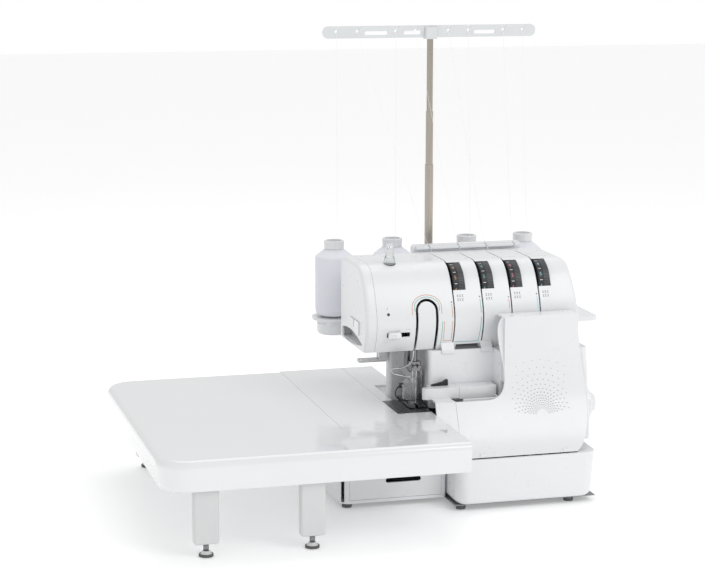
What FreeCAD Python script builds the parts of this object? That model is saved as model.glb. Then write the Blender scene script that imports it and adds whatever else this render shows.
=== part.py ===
"""Serger (overlock sewing machine) with its wide extension table, in millimetres.

X runs along the arm towards the handwheel, Y runs from the operator to the spool stand, +Z is up.
Everything is laid out from the left end of the head and the floor, and is moved on export so that
the origin is the middle of the whole machine's footprint.
"""
import FreeCAD, Part
import math
import os

V = FreeCAD.Vector

# ---- driving dimensions -------------------------------------------------------------------------
EDGE_R = 5.0                  # rounding of the head's front right edge
WALL = 2.6                    # moulded wall thickness
GAP = 0.35                    # gap between neighbouring pieces

HEAD_BOTTOM, HEAD_TOP = 188.0, 296.0
HEAD_REAR = 178.0             # rear face of the head and column
HEAD_LEFT_CAP = 14.0          # width of the left end cover
SIDE_LOW = (296.0, 72.0)      # right side of the casing, x and z, low on the column
SIDE_MID = (288.5, 185.0)
SIDE_TOP = (279.5, 290.0)

TABLE_TOP = 117.0             # working height of table, bed and needle plate
TABLE_SKIRT = 36.0
TABLE_LEFT, TABLE_RIGHT = -298.0, 77.0
TABLE_FRONT, TABLE_REAR = -140.0, 298.0
SEAM_X = -54.0                # table to insert
SEAM_Y = -32.0                # front strip to insert
STRIP_X = 33.0                # insert to bed strip
PLATE_Y0, PLATE_Y1 = 21.0, 92.0
TABLE_CORNER_R = 38.0
TABLE_DRAFT = 5.0             # how far the skirt's lower edge lies inside the top on the left

LEG_X = (-242.0, -115.0)
LEG_FRONT_Y, LEG_REAR_Y = -125.0, 280.0
LEG_WIDTH, LEG_THICK = 30.0, 15.0
LEG_PIVOT_Z = 92.0

FOOT_HEIGHT = 8.0
BASE_BOTTOM = FOOT_HEIGHT
TRAY_TOP = 66.0
TRAY_FRONT = -36.0
ARM_LEFT, ARM_RIGHT = -45.0, 94.0   # lower left housing under the bed

COLUMN_FRONT = 54.0           # column face to the right of the needle
SHAFT_Y, SHAFT_Z = 68.0, 104.0
SHAFT_R = 6.0
MOTOR_Y, MOTOR_Z = 140.0, 42.0
DRIVE_PULLEY_R, MOTOR_PULLEY_R = 32.0, 9.0
BELT_X0, BELT_X1 = 262.0, 268.0

WALL_X = (112.0, 238.0)       # bearing walls of the cast frame
BEAM_Y = 131.0                # front of the frame's arm beam

NEEDLE_X, NEEDLE_Y = 70.0, 72.0
PRESSER_X, PRESSER_Y = 66.0, 90.0
FEED_X = (54.0, 59.0, 64.0)
FEED_Y = (77.0, 89.0)
KNIFE_X = 76.5
LOOPER_Z = 86.0
LOOPERS = ((60.0, 46.0), (88.0, 37.0))    # x and y of the lower and the upper looper
LIFTER_X, LIFTER_Z = 40.0, 200.0
THREAD_SLOT_X = (116.5, 155.0, 193.5, 232.0)
DIAL_X = tuple(x + 9.6 for x in THREAD_SLOT_X)
DIAL_Y, DIAL_Z = 92.5, 263.5
DIAL_R, DIAL_WIDTH = 30.0, 15.4
SLOT_X = 80.0                 # thread take-up slot

COVER_SEAM = 117.0            # fixed ledge to hinged cover
CHUTE_LEFT, CHUTE_SEAM = 78.4, 104.9   # fixed chute beside the table, below the ledge
COVER_TOP = 233.0
COVER_LEFT = 172.0
LEDGE_TOP, LEDGE_BOTTOM = 144.0, 130.0
COVER_HINGE = (-31.0, 69.0)

MAST_X, MAST_Y = 141.0, 242.0
MAST_BASE = 176.0
MAST_SECTION_TOPS = (403.0, 474.0, 574.0)
MAST_R = (5.6, 4.9, 4.2)
MAST_OVERLAP = 45.0
BAR_Z, BAR_HALF, BAR_HEIGHT = 581.0, 148.0, 16.0
STAND_Z = 200.0
CONE_X = (MAST_X - 133.6, MAST_X - 52.7, MAST_X + 52.7, MAST_X + 133.6)
CONE_Y = 237.5
EYE_IN_X = (11.0, 92.6, 194.0, 270.5)
EYE_OUT_X = (40.0, 120.0, 166.0, 243.0)
NOTCH_X = (121.0, 162.0, 200.0, 239.0)
THREAD_R = 0.2
THREAD_BEND = 1.4
THREAD_LOW = 292.0            # height where the threads leave the cones

WING_RIGHT = 356.0

FRAME_SHIFT = V(-(TABLE_LEFT + WING_RIGHT) / 2, -(TABLE_FRONT + TABLE_REAR) / 2, 0)


# ---- small builders -----------------------------------------------------------------------------
def block(x0, x1, y0, y1, z0, z1):
    """A box between two corners."""
    return Part.makeBox(x1 - x0, y1 - y0, z1 - z0, V(x0, y0, z0))


def rod(x, y, z, radius, length, axis=V(0, 0, 1)):
    """A cylinder that starts at a point and runs along an axis."""
    return Part.makeCylinder(radius, length, V(x, y, z), axis)


def rod_x(x0, x1, y, z, radius):
    """A cylinder along X."""
    return rod(x0, y, z, radius, x1 - x0, V(1, 0, 0))


def face_of(points, plane):
    """A flat face through 2-D points; plane is 'xy', 'xz' or 'yz'."""
    place = {"xy": lambda a, b: V(a, b, 0), "xz": lambda a, b: V(a, 0, b),
             "yz": lambda a, b: V(0, a, b)}[plane]
    loop = [place(a, b) for a, b in points]
    return Part.Face(Part.makePolygon(loop + loop[:1]))


def smooth_face(parts, plane):
    """A face from pieces: a list of 2 points is a line, of 3 points an arc, of more a spline."""
    place = {"xz": lambda a, b: V(a, 0, b), "yz": lambda a, b: V(0, a, b)}[plane]
    edges = []
    for run in parts:
        pts = [place(a, b) for a, b in run]
        if len(pts) == 2:
            edges.append(Part.makeLine(*pts))
        elif len(pts) == 3:
            edges.append(Part.Arc(*pts).toShape())
        else:
            curve = Part.BSplineCurve()
            curve.interpolate(pts)
            edges.append(curve.toShape())
    return Part.Face(Part.Wire(edges))


def slab(face, start, depth):
    """Extrude a face along its own plane's normal, from start."""
    normal = face.normalAt(0, 0)
    axis = V(abs(round(normal.x)), abs(round(normal.y)), abs(round(normal.z)))
    return face.translated(axis * start).extrude(axis * depth)


def rounded(shape, radius, wanted):
    """Fillet the edges whose middle point satisfies wanted(point, direction)."""
    picked = []
    for edge in shape.Edges:
        middle = (edge.FirstParameter + edge.LastParameter) / 2
        point, along = edge.valueAt(middle), edge.tangentAt(middle)
        if wanted(point, along):
            picked.append(edge)
    return shape.makeFillet(radius, picked) if picked else shape


def upright(point, along):
    """True for a vertical edge."""
    return abs(along.z) > 0.9


def round_box(x0, x1, y0, y1, z0, z1, radius):
    """A box with rounded vertical edges."""
    return rounded(block(x0, x1, y0, y1, z0, z1), radius, upright)


def turned(points, x, y):
    """A solid of revolution about a vertical axis from (radius, height) points."""
    profile = Part.Face(Part.makePolygon([V(x + r, y, z) for r, z in points + points[:1]]))
    return profile.revolve(V(x, y, 0), V(0, 0, 1), 360)


def group(solids):
    """Separate solids that share a node."""
    return Part.makeCompound(solids)


def fused(first, *others):
    """One clean solid from overlapping ones."""
    return first.fuse(list(others)).removeSplitter()


def save(name, shape):
    """Move the shape into the machine's frame and write its STEP file."""
    placed = shape.copy()
    placed.translate(FRAME_SHIFT)
    placed.exportStep(f"parts/{name}.step")


# ---- casing -------------------------------------------------------------------------------------
def side_limit(inset, front, rear):
    """Everything left of the casing's slightly bowed right side, with a rounded top corner."""
    reach = SIDE_LOW[0] - inset
    corner = (reach, SIDE_LOW[1])
    mid = (SIDE_MID[0] - inset, SIDE_MID[1])
    top = (SIDE_TOP[0] - inset, SIDE_TOP[1] - 8)
    crest = (SIDE_TOP[0] - 12, HEAD_TOP - inset)
    turn = (SIDE_TOP[0] - 3 - inset * 0.7, HEAD_TOP - 4.5 - inset * 0.7)
    face = smooth_face([[(-100, 0), (reach, 0)], [(reach, 0), corner], [corner, mid, top],
                        [top, turn, crest], [crest, (-100, HEAD_TOP - inset)],
                        [(-100, HEAD_TOP - inset), (-100, 0)]], "xz")
    return slab(face, front, rear - front)


def head_profile(inset):
    """Side view of the head: a bowed front that leans back at the top and tucks in below."""
    bottom, top, rear = HEAD_BOTTOM + inset, HEAD_TOP - inset, HEAD_REAR - inset
    front = [(62 + inset, bottom), (53 + inset, 210), (50 + inset, 228), (54 + inset, 246),
             (62 + inset, 264), (77 + inset * 0.7, 286 - inset * 0.7), (98, top)]
    return smooth_face([front, [(98, top), (rear - 12, top)],
                        [(rear - 12, top), (rear - 3.5, top - 3.5), (rear, top - 12)],
                        [(rear, top - 12), (rear, bottom)], [(rear, bottom), front[0]]], "yz")


def head_form(x0, inset):
    """The solid outer form of the head, shrunk by inset."""
    reach = SIDE_LOW[0] - x0
    return slab(head_profile(inset), x0, reach).common(side_limit(inset, 0, 200))


def arch(half_width, x0_y, y1):
    """The round-topped form of the take-up slot, open at the bottom."""
    top = 255.0
    spring = top - 15.0
    drop = HEAD_BOTTOM - 5
    face = smooth_face([[(SLOT_X - half_width, drop), (SLOT_X - half_width, spring)],
                        [(SLOT_X - half_width, spring), (SLOT_X, spring + half_width),
                         (SLOT_X + half_width, spring)],
                        [(SLOT_X + half_width, spring), (SLOT_X + half_width, drop)],
                        [(SLOT_X + half_width, drop), (SLOT_X - half_width, drop)]], "xz")
    return slab(face, x0_y, y1 - x0_y)


def head_cover():
    """Shell over the head, with dial windows, thread slots and the take-up slot."""
    outer = rounded(head_form(HEAD_LEFT_CAP, 0), EDGE_R, lambda p, t: p.x > 270 and p.y < 95 and p.z > 190)
    shell = outer.cut(head_form(HEAD_LEFT_CAP + WALL, WALL))
    cuts = [arch(15.0, 40, 75)]
    for slot_x, dial_x in zip(THREAD_SLOT_X, DIAL_X):
        window_end = dial_x + DIAL_WIDTH / 2 + 0.6
        cuts.append(block(slot_x - 0.9, slot_x + 0.9, 40, 150, 186, 300))
        cuts.append(rod_x(slot_x - 0.9, window_end, DIAL_Y, DIAL_Z, DIAL_R + 0.8))
    cuts.append(round_box(NEEDLE_X - 18, NEEDLE_X + 14, NEEDLE_Y - 7, PRESSER_Y + 12, 180, 200, 5))
    cuts.append(block(LIFTER_X - 15, LIFTER_X + 8, 112, 128, 180, 200))
    cuts.append(rod(43, 96, 280, 7.9, 30))                   # pressure knob
    cuts.append(block(27.6, 58, 40, 60, 208, 214))           # threader slider track
    cuts.append(block(121, 152, 50, 75, 186, 193.5))         # thread trough under the panels
    cuts += [block(x - 0.5, x + 8.5, BEAM_Y - 0.5, BEAM_Y + 12.5, 180, 200) for x in WALL_X]
    return shell.cut(Part.makeCompound(cuts))


def left_end_cover():
    """Cap on the head's left end, with a hollow back, a seat for the cutter and a grip recess."""
    x1 = HEAD_LEFT_CAP - GAP
    solid = slab(head_profile(0), 0, x1)
    solid = rounded(solid, 5.0, lambda p, t: p.x < 0.01 and p.z > 195)
    hollow = slab(head_profile(WALL), WALL, x1)
    cutter_seat = cutter_form(-1, WALL + 1, 0)
    grip = smooth_face([[(70, 196), (96, 203.5), (168, 203)], [(168, 203), (166, 191)],
                        [(166, 191), (125, 189.5), (70, 196)]], "yz")
    return solid.cut(hollow).cut(cutter_seat).cut(slab(grip, -1, WALL + 2))


def cutter_form(x0, x1, inset):
    """Shield-shaped outline of the thread cutter, as a slab."""
    outline = face_of([(84, 224), (84, 206), (96, 206), (108, 212), (128, 224)], "yz")
    if inset:
        outline = outline.makeOffset2D(-inset)
    return slab(outline, x0, x1 - x0)


def thread_cutter():
    """Block with a guarded slot, let into the left end cover."""
    slot = slab(face_of([(103, 214), (106, 214), (110, 230), (107, 230)], "yz"), -4, 5)
    return cutter_form(-1.8, WALL + 0.6, GAP).cut(slot)


def take_up_plate():
    """The tongue inside the take-up slot, following the head's front."""
    skin = slab(head_profile(0.4), 60, 40).cut(slab(head_profile(WALL + 0.4), 59, 42))
    return skin.common(arch(11.5, 40, 75)).common(block(60, 100, 30, 65.5, 188.5, 260))


def column_plan(inset, z0, z1):
    """Footprint of the column behind the needle, as a solid."""
    x0, x1, x2, x3 = 48 + inset, 84 + inset, 170 + inset, SIDE_LOW[0]
    y_rear, y_back, y_mid, y_front = HEAD_REAR - inset, 115 + inset, COLUMN_FRONT + inset, 26 + inset
    points = [(x0 + 24, y_rear), (x0, y_back + 12), (x0, y_back), (x1, y_back), (x1, y_mid), (x2, y_mid),
              (x2, y_front), (x3, y_front), (x3, y_rear)]
    return slab(face_of(points, "xy"), z0, z1 - z0).common(side_limit(inset, 0, 200))


def rear_cover():
    """Column and back of the machine: open below, with a service opening behind the front cover."""
    z0, z1 = TRAY_TOP + GAP, HEAD_BOTTOM - GAP
    shell = column_plan(0, z0, z1)
    shell = rounded(shell, 5.0, lambda p, t: upright(p, t) and p.x < 100)
    shell = rounded(shell, 8.0, lambda p, t: p.x > 280 and p.y < 30 and abs(t.z) > 0.5)
    shell = shell.cut(column_plan(WALL, z0 - 1, z1 - WALL))
    service = block(176, 262, 20, 34, z0 + 6, z1 - 12)
    shaft_hole = rod_x(280, 300, SHAFT_Y, SHAFT_Z, 9.0)
    bed_way = block(78, 110, COLUMN_FRONT - 2, 118, 60, 106)
    head_way = block(110, 260, 70, 160, z1 - 5, z1 + 1)
    over_base = block(40, ARM_RIGHT + GAP, 50, 172.4, 60, 113)
    return shell.cut(Part.makeCompound([service, shaft_hole, bed_way, head_way, over_base]))


def looper_guard():
    """Ledge beside the presser foot over the loopers, and the cloth chute below it."""
    back = COLUMN_FRONT - GAP
    nose = rounded(block(69, 84, 30, 40.5, LEDGE_BOTTOM, LEDGE_TOP), 5,
                   lambda p, t: upright(p, t) and p.x < 70)
    ledge = block(80, COVER_SEAM - GAP, 30, back, LEDGE_BOTTOM, LEDGE_TOP)
    inside = block(83, COVER_SEAM - 3, 33, back - 2.4, 118, LEDGE_TOP - 3)
    right = CHUTE_SEAM - GAP
    outline = face_of([(CHUTE_LEFT, LEDGE_BOTTOM + 1), (right, LEDGE_BOTTOM + 1), (right, 100),
                       (right - 1.5, 92), (CHUTE_LEFT, 92)], "xz")
    chute = slab(cover_profile(0), 78, 60).common(slab(outline, -60, 160))
    shelf = block(CHUTE_LEFT + 2, right, 8, 34, LEDGE_BOTTOM - 2, LEDGE_BOTTOM + 0.6)
    return fused(nose, ledge, chute, shelf).cut(inside)


def cover_profile(inset):
    """Side view of the front cover: upright at the top, sweeping out to the tray's front edge."""
    outer = [(23.0, COVER_TOP), (20.0, 190.0), (13.0, 145.0), (-2.0, 108.0), (-19.0, 82.0),
             (-33.0, TRAY_TOP + 1.4)]
    inner = [(y + WALL + 0.4, z) for y, z in reversed(outer)]
    return smooth_face([outer, [outer[-1], inner[0]], inner, [inner[-1], outer[0]]], "yz")


def cover_outline():
    """Front view of the cover: a tall door on the right and a chute to its left."""
    seam = COVER_SEAM
    left = [(CHUTE_SEAM, LEDGE_BOTTOM), (CHUTE_SEAM, 100), (CHUTE_SEAM - 1.5, 92), (112, TRAY_TOP)]
    right = [(250, TRAY_TOP), (268, 80), (277, 104), (279.5, 140), (274, COVER_TOP)]
    rise = [(seam + 32, LEDGE_BOTTOM), (COVER_LEFT - 5, 138), (COVER_LEFT - 1, 170), (COVER_LEFT, COVER_TOP)]
    face = smooth_face([[left[0], left[1]], [left[1], left[2]], [left[2], left[3]], [left[-1], right[0]],
                        right, [right[-1], rise[-1]], list(reversed(rise)), [rise[0], left[0]]], "xz")
    return slab(face, -60, 160)


def front_cover():
    """Hinged front cover with its top return, its ledge and its hinge ears."""
    skin = slab(cover_profile(0), 78, 212).common(cover_outline())
    top = block(COVER_LEFT + 1, 273.5, 23.4, 48, COVER_TOP - 2.6, COVER_TOP - 0.01)
    side = block(COVER_LEFT + 0.2, COVER_LEFT + 2.8, 17, 25.4, 150, COVER_TOP - 0.01)
    back = COLUMN_FRONT - GAP
    ledge = block(COVER_SEAM, 166, 14, back, LEDGE_BOTTOM - 1, LEDGE_TOP)
    ledge = ledge.cut(block(COVER_SEAM - 1, 164, 17, back + 1, 0, LEDGE_TOP - 3))
    ledge = ledge.cut(block(COVER_SEAM - 1, 170, 0, 30, LEDGE_BOTTOM + 2, 200))
    ledge = ledge.fuse(block(COVER_SEAM, 166, 30, 33, LEDGE_BOTTOM - 1, LEDGE_TOP))
    ears = [rod_x(x, x + 8, COVER_HINGE[0] + 1.0, COVER_HINGE[1], 2.4) for x in (125, 235)]
    return fused(skin, top, side, ledge, *ears)


def tray_form(inset, z0, z1):
    """Plan of the lower housing, narrower at its foot on the right, as a solid."""
    def plan(right, z):
        x0, x1, x2 = 95 + inset, 279 - inset - right, 295 - inset - right
        y0, y1 = TRAY_FRONT + inset, HEAD_REAR - inset
        points = [(x0, y0), (x1, y0), (x1 + 3, 24), (x2, 58), (x2, y1), (x0, y1)]
        return Part.makePolygon([V(x, y, z) for x, y in points + points[:1]])

    form = Part.makeLoft([plan(5.0, z0), plan(0.0, z1)], True, True)
    return rounded(form, 16 - inset, lambda p, t: upright(p, t) and p.y < 0)


def base_tray():
    """Lower right housing with a flat rim beside the front cover."""
    outer = tray_form(0, BASE_BOTTOM, TRAY_TOP)
    outer = rounded(outer, 7, lambda p, t: p.z < BASE_BOTTOM + 0.01 and (p.x > 270 or p.y < TRAY_FRONT + 9))
    hollow = tray_form(WALL, BASE_BOTTOM - 1, TRAY_TOP - WALL)
    hollow = hollow.cut(block(90, 300, -50, -20, 0, 15)).cut(block(262, 300, -50, 190, 0, 15))
    mouth = face_of([(112, -32.6), (253.5, -32.6), (284, 30), (284, 170), (100, 170), (100, -5)], "xy")
    inlet = block(280, 300, 118, 152, 20, 46)
    switch = block(280, 300, 100 - GAP, 110 + GAP, 24 - GAP, 38 + GAP)
    left_way = block(90, 100, 40, 150, 20, 60)
    return outer.cut(hollow).cut(slab(mouth, TRAY_TOP - 10, 20)).cut(inlet).cut(switch).cut(left_way)


def left_base():
    """Housing under the bed: it carries the needle plate and takes the accessory drawer."""
    outer = block(ARM_LEFT, ARM_RIGHT, 9, 172, BASE_BOTTOM, 112.5)
    outer = rounded(outer, 14, lambda p, t: upright(p, t) and p.x < 0)
    outer = rounded(outer, 5, lambda p, t: upright(p, t) and p.x > 50 and p.y < 50)
    hollow = block(ARM_LEFT + WALL, ARM_RIGHT - WALL, 9 + WALL, 172 - WALL, BASE_BOTTOM + 2, 109.5)
    drawer_mouth = block(ARM_LEFT + 12, ARM_RIGHT - 6, 0, 15, 12, 73)
    top_mouth = block(STRIP_X + 3, 100, 22, 112, 100, 120)
    right_way = block(90, 100, 30, 112, 78, 120)
    floor = block(ARM_LEFT + WALL, ARM_RIGHT - WALL, 9 + WALL, 172 - WALL, 74, 76)
    shell = outer.cut(hollow).fuse(floor)
    return shell.cut(Part.makeCompound([drawer_mouth, top_mouth, right_way])).removeSplitter()


def accessory_drawer():
    """Drawer behind the lower left front, with a finger slot in its face."""
    x0, x1 = ARM_LEFT + 12 + GAP, ARM_RIGHT - 6 - GAP
    box = block(x0, x1, 9, 120, 12 + GAP, 73 - GAP).cut(block(x0 + 2, x1 - 2, 11.5, 118, 14.5, 80))
    slot = rounded(block(14, 60, 0, 14, 32, 38), 2.8, lambda p, t: abs(t.y) > 0.9)
    return box.cut(slot)


def bottom_plate():
    """Steel plate that closes the base."""
    left = block(ARM_LEFT + 6, ARM_RIGHT, 20, 168, 6.4, BASE_BOTTOM - GAP)
    right = block(ARM_RIGHT - 1, 280, -28, 172, 6.4, BASE_BOTTOM - GAP)
    return fused(left, right)


def machine_feet():
    """Six rubber feet."""
    places = [(-32, 26), (-32, 158), (104, -18), (104, 158), (248, -18), (262, 158)]
    return group([turned([(0, 0), (6, 0), (7, 6.2), (0, 6.2)], x, y) for x, y in places])


# ---- table and bed ------------------------------------------------------------------------------
def table_skin(top_points, foot_points, corner_test, edge_test, wall=3.4):
    """A shallow upturned tray from its outlines at the top and at the skirt's lower edge."""
    bottom = TABLE_TOP - TABLE_SKIRT

    def form(z0, z1, inset):
        wires = []
        for z, points in ((z0, foot_points), (z1, top_points)):
            face = face_of(points, "xy").translated(V(0, 0, z))
            wires.append((face.makeOffset2D(-inset) if inset else face).OuterWire)
        solid = Part.makeLoft(wires, True, True)
        return rounded(solid, TABLE_CORNER_R - inset, lambda p, t: upright(p, t) and corner_test(p))

    outer = rounded(form(bottom, TABLE_TOP, 0), 9.0,
                    lambda p, t: p.z > TABLE_TOP - 0.01 and not upright(p, t) and edge_test(p))
    return outer.cut(form(bottom - 0.01, TABLE_TOP - wall, wall))


def extension_table():
    """L-shaped table: the left leaf and the front strip."""
    def outline(draft):
        left, front, rear = TABLE_LEFT + draft, TABLE_FRONT + draft * 0.3, TABLE_REAR - draft * 0.3
        return [(left, front), (TABLE_RIGHT, front), (TABLE_RIGHT, SEAM_Y - GAP),
                (SEAM_X - GAP, SEAM_Y - GAP), (SEAM_X - GAP, rear), (left, rear)]

    def outer_corner(p):
        return p.x < TABLE_LEFT + 8

    def outer_edge(p):
        return p.x < TABLE_LEFT + 60 or p.y < TABLE_FRONT + 1 or p.y > TABLE_REAR - 1

    return table_skin(outline(0), outline(TABLE_DRAFT), outer_corner, outer_edge)


def table_insert():
    """Insert between the leaf and the needle plate: plate, edge ribs and a rear skirt."""
    x0, x1, y0 = SEAM_X, STRIP_X - GAP, SEAM_Y
    top = block(x0, x1, y0, TABLE_REAR, TABLE_TOP - 3.4, TABLE_TOP)
    tab = block(x1 - 1, TABLE_RIGHT, y0, PLATE_Y0 - GAP, TABLE_TOP - 3.4, TABLE_TOP)
    skirt = block(x0, x1, TABLE_REAR - 3.4, TABLE_REAR, TABLE_TOP - TABLE_SKIRT, TABLE_TOP - 1)
    ribs = [block(x0, x0 + 2.4, y0, TABLE_REAR, TABLE_TOP - 16, TABLE_TOP - 1),
            block(x0, TABLE_RIGHT, y0, y0 + 2.4, TABLE_TOP - 16, TABLE_TOP - 1),
            block(x0, x1, 180, 182.4, TABLE_TOP - 16, TABLE_TOP - 1),
            block(x1 - 2.4, x1, 180, TABLE_REAR, TABLE_TOP - 16, TABLE_TOP - 1)]
    body = fused(top, tab, skirt, *ribs)
    return rounded(body, 3.0, lambda p, t: p.y > TABLE_REAR - 0.01 and p.z > TABLE_TOP - 0.01)


def bed_strip():
    """Narrow leaf behind the needle plate, past the column's left side."""
    left = STRIP_X
    top = block(left, 47, PLATE_Y1 + GAP, TABLE_REAR, TABLE_TOP - 3.4, TABLE_TOP)
    wide = block(left, TABLE_RIGHT, HEAD_REAR + 3, TABLE_REAR, TABLE_TOP - 3.4, TABLE_TOP)
    skirt = block(left, TABLE_RIGHT, TABLE_REAR - 3.4, TABLE_REAR, TABLE_TOP - TABLE_SKIRT, TABLE_TOP - 1)
    ribs = [block(left, left + 2.4, 180, TABLE_REAR, TABLE_TOP - 16, TABLE_TOP - 1),
            block(TABLE_RIGHT - 2.4, TABLE_RIGHT, 181, TABLE_REAR, TABLE_TOP - 30, TABLE_TOP - 1)]
    body = fused(top, wide, skirt, *ribs)
    return rounded(body, 3.0, lambda p, t: p.y > TABLE_REAR - 0.01 and p.z > TABLE_TOP - 0.01)


def needle_plate():
    """Steel plate with the needle slot and feed openings."""
    plate = block(STRIP_X, 76, PLATE_Y0, PLATE_Y1, TABLE_TOP - 2.5, TABLE_TOP)
    feed = [block(x, x + 2.2, FEED_Y[0], FEED_Y[1], 110, 120) for x in FEED_X]
    needle_hole = block(NEEDLE_X - 3.5, NEEDLE_X + 3.5, NEEDLE_Y - 2, NEEDLE_Y + 2, 110, 120)
    return plate.cut(Part.makeCompound(feed + [needle_hole]))


def leg_places():
    """(x, y, inward) of the table legs; inward is +1 where the leg folds towards +Y."""
    front = [(x, LEG_FRONT_Y, 1) for x in LEG_X]
    rear = [(x, LEG_REAR_Y, -1) for x in LEG_X]
    return front + rear


def table_leg(x, y):
    """Folding leg with its pivot bore and a levelling foot on a stud."""
    half = LEG_WIDTH / 2
    body = block(x - half, x + half, y - LEG_THICK / 2, y + LEG_THICK / 2, 15, LEG_PIVOT_Z + 7)
    body = rounded(body, 3.0, upright)
    body = rounded(body, 3.0, lambda p, t: p.z < 15.01)
    body = body.cut(rod_x(x - half - 1, x + half + 1, y, LEG_PIVOT_Z, 2.56))
    stud = rod(x, y, 5, 3.0, 10.0)
    foot = turned([(0, 0), (7.8, 0), (7.8, 2.0), (4.2, 6.5), (0, 6.5)], x, y)
    return group([body.cut(rod(x, y, 14, 3.02, 3)), fused(stud, foot)])


def leg_brackets():
    """Hinge brackets under the table, each with two cheeks and a pin through the leg."""
    solids = []
    half = LEG_WIDTH / 2
    top = TABLE_TOP - 3.4 - 0.05
    for x, y, _ in leg_places():
        cheeks = [block(x - half - 3.4, x - half - 0.5, y - 9, y + 9, 84, top),
                  block(x + half + 0.5, x + half + 3.4, y - 9, y + 9, 84, top)]
        bridge = block(x - half - 3.4, x + half + 3.4, y - 9, y + 9, top - 2.4, top)
        pin = rod_x(x - half - 3.4, x + half + 3.4, y, LEG_PIVOT_Z, 2.5)
        solids.append(fused(bridge, pin, *cheeks))
    return group(solids)


# ---- needle, presser and stitch-forming parts -----------------------------------------------------
def needle_bar():
    return rod(NEEDLE_X, NEEDLE_Y, 172, 3.6, 98)


def needle_clamp():
    body = round_box(NEEDLE_X - 7, NEEDLE_X + 7, NEEDLE_Y - 6, NEEDLE_Y + 6, 160, 172 - 0.05, 2)
    screws = [rod(NEEDLE_X + dx, NEEDLE_Y - 12, 166, 2.2, 7, V(0, 1, 0)) for dx in (-3, 3)]
    return fused(body, *screws)


def needles():
    solids = []
    for x in (NEEDLE_X - 2.4, NEEDLE_X + 2.4):
        shank = rod(x, NEEDLE_Y, 148, 1.0, 12 - 0.05)
        blade = rod(x, NEEDLE_Y, 136, 0.5, 12.5)
        tip = Part.makeCone(0.05, 0.5, 4, V(x, NEEDLE_Y, 132))
        solids.append(fused(shank, blade, tip))
    return group(solids)


def presser_bar():
    return rod(PRESSER_X, PRESSER_Y, 133, 3.6, 150)


def presser_foot():
    """Foot with a split toe, a needle opening, a shank clamped on the bar and a side screw."""
    front, back = NEEDLE_Y - 30.5, PRESSER_Y + 10
    sole = round_box(55, 75.6, front, back, TABLE_TOP + 1.2, TABLE_TOP + 4.2, 2)
    toe_gap = block(62, 66, front - 8, NEEDLE_Y - 14, 110, 125)
    needle_gap = block(NEEDLE_X - 4, NEEDLE_X + 4, NEEDLE_Y - 6, NEEDLE_Y + 6, 110, 125)
    neck = block(PRESSER_X - 5.5, PRESSER_X + 5.5, PRESSER_Y - 6, PRESSER_Y + 7, TABLE_TOP + 3.2, 140)
    bore = rod(PRESSER_X, PRESSER_Y, 133 - 0.05, 3.65, 20)
    finger = block(56, 60, front + 2, front + 22, TABLE_TOP + 3.2, TABLE_TOP + 9)
    screw = rod(PRESSER_X - 12, PRESSER_Y, 136.5, 3.2, 6.6, V(1, 0, 0))
    return fused(sole.cut(toe_gap).cut(needle_gap), neck, finger, screw).cut(bore)


def presser_lifter():
    """Lever from a pivot inside the head out past the left end."""
    arm = round_box(8, LIFTER_X + 5, 113.5, 126.5, 164, 167.5, 3)
    hub = fused(block(LIFTER_X - 5, LIFTER_X + 5, 113.5, 126.5, 164, LIFTER_Z),
                rod(LIFTER_X, 113.5, LIFTER_Z, 6, 13, V(0, 1, 0)))
    return fused(arm, hub).cut(rod(LIFTER_X, 110, LIFTER_Z, 3.05, 20, V(0, 1, 0)))


def pressure_knob():
    stem = rod(43, 96, 262, 4.0, 34)
    head = turned([(0, 290), (7.4, 290), (7.4, 299), (5.4, 306), (4.6, 313), (5.6, 317), (5.0, 320.2),
                   (3.8, 321), (0, 321)], 43, 96)
    return fused(stem, head)


def threader_slider():
    grip = rounded(block(28, 44, 44.5, 50.4, 206.5, 215.5), 2.0, lambda p, t: abs(t.y) > 0.9)
    tail = block(30, 42, 49, 60, 208.8, 213.2)
    return fused(grip, tail)


def upper_knife():
    """Moving knife: a blade at the plate's right edge on an arm beside the column."""
    x0, x1 = KNIFE_X + 2.1, KNIFE_X + 4.4
    arm = block(x0, x1, 74, 88, 119, 160)
    blade = block(x0, x1, 60, 75, 119, 128)
    screw = rod_x(x1 - 0.5, x1 + 1.6, 81, 152, 4)
    return fused(arm, blade, screw)


def lower_knife():
    """Fixed knife below the plate's level, on its holder."""
    blade = block(KNIFE_X, KNIFE_X + 1.8, 61, 79, 90, 116.6)
    return fused(blade, block(KNIFE_X - 3, KNIFE_X + 1.8, 61, 79, 82, 90))


def looper(x0, y0, height, lean):
    """A looper arm on a hub, with a hooked and pointed end."""
    hub = rod(x0, y0 - 2, LOOPER_Z, 5.5, 9, V(0, 1, 0)).cut(rod(x0, y0 - 3, LOOPER_Z, 2.55, 12, V(0, 1, 0)))
    points = [(x0 - 3, LOOPER_Z + 4), (x0 + 3, LOOPER_Z + 4), (x0 + 3 + lean, height - 4),
              (x0 + 9 * lean / 4, height), (x0 - 3 + lean, height - 8)]
    blade = slab(face_of(points, "xz"), y0, 5)
    return fused(hub, blade)


def feed_dogs():
    """Toothed feed bars on one carrier."""
    y0, y1 = FEED_Y[0] + 3, FEED_Y[1] - 3
    solids = [block(FEED_X[0] - 1.5, FEED_X[2] + 3.5, y0, y1, 102, 107)]
    for slot in FEED_X:
        x = slot + 0.35
        solids.append(block(x, x + 1.5, y0, y1, 106, TABLE_TOP - 1.4))
        for tooth in range(3):
            y = y0 + 0.4 + 1.9 * tooth
            solids.append(block(x, x + 1.5, y, y + 1.2, TABLE_TOP - 1.5, TABLE_TOP - 0.4))
    return fused(*solids)


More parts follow.
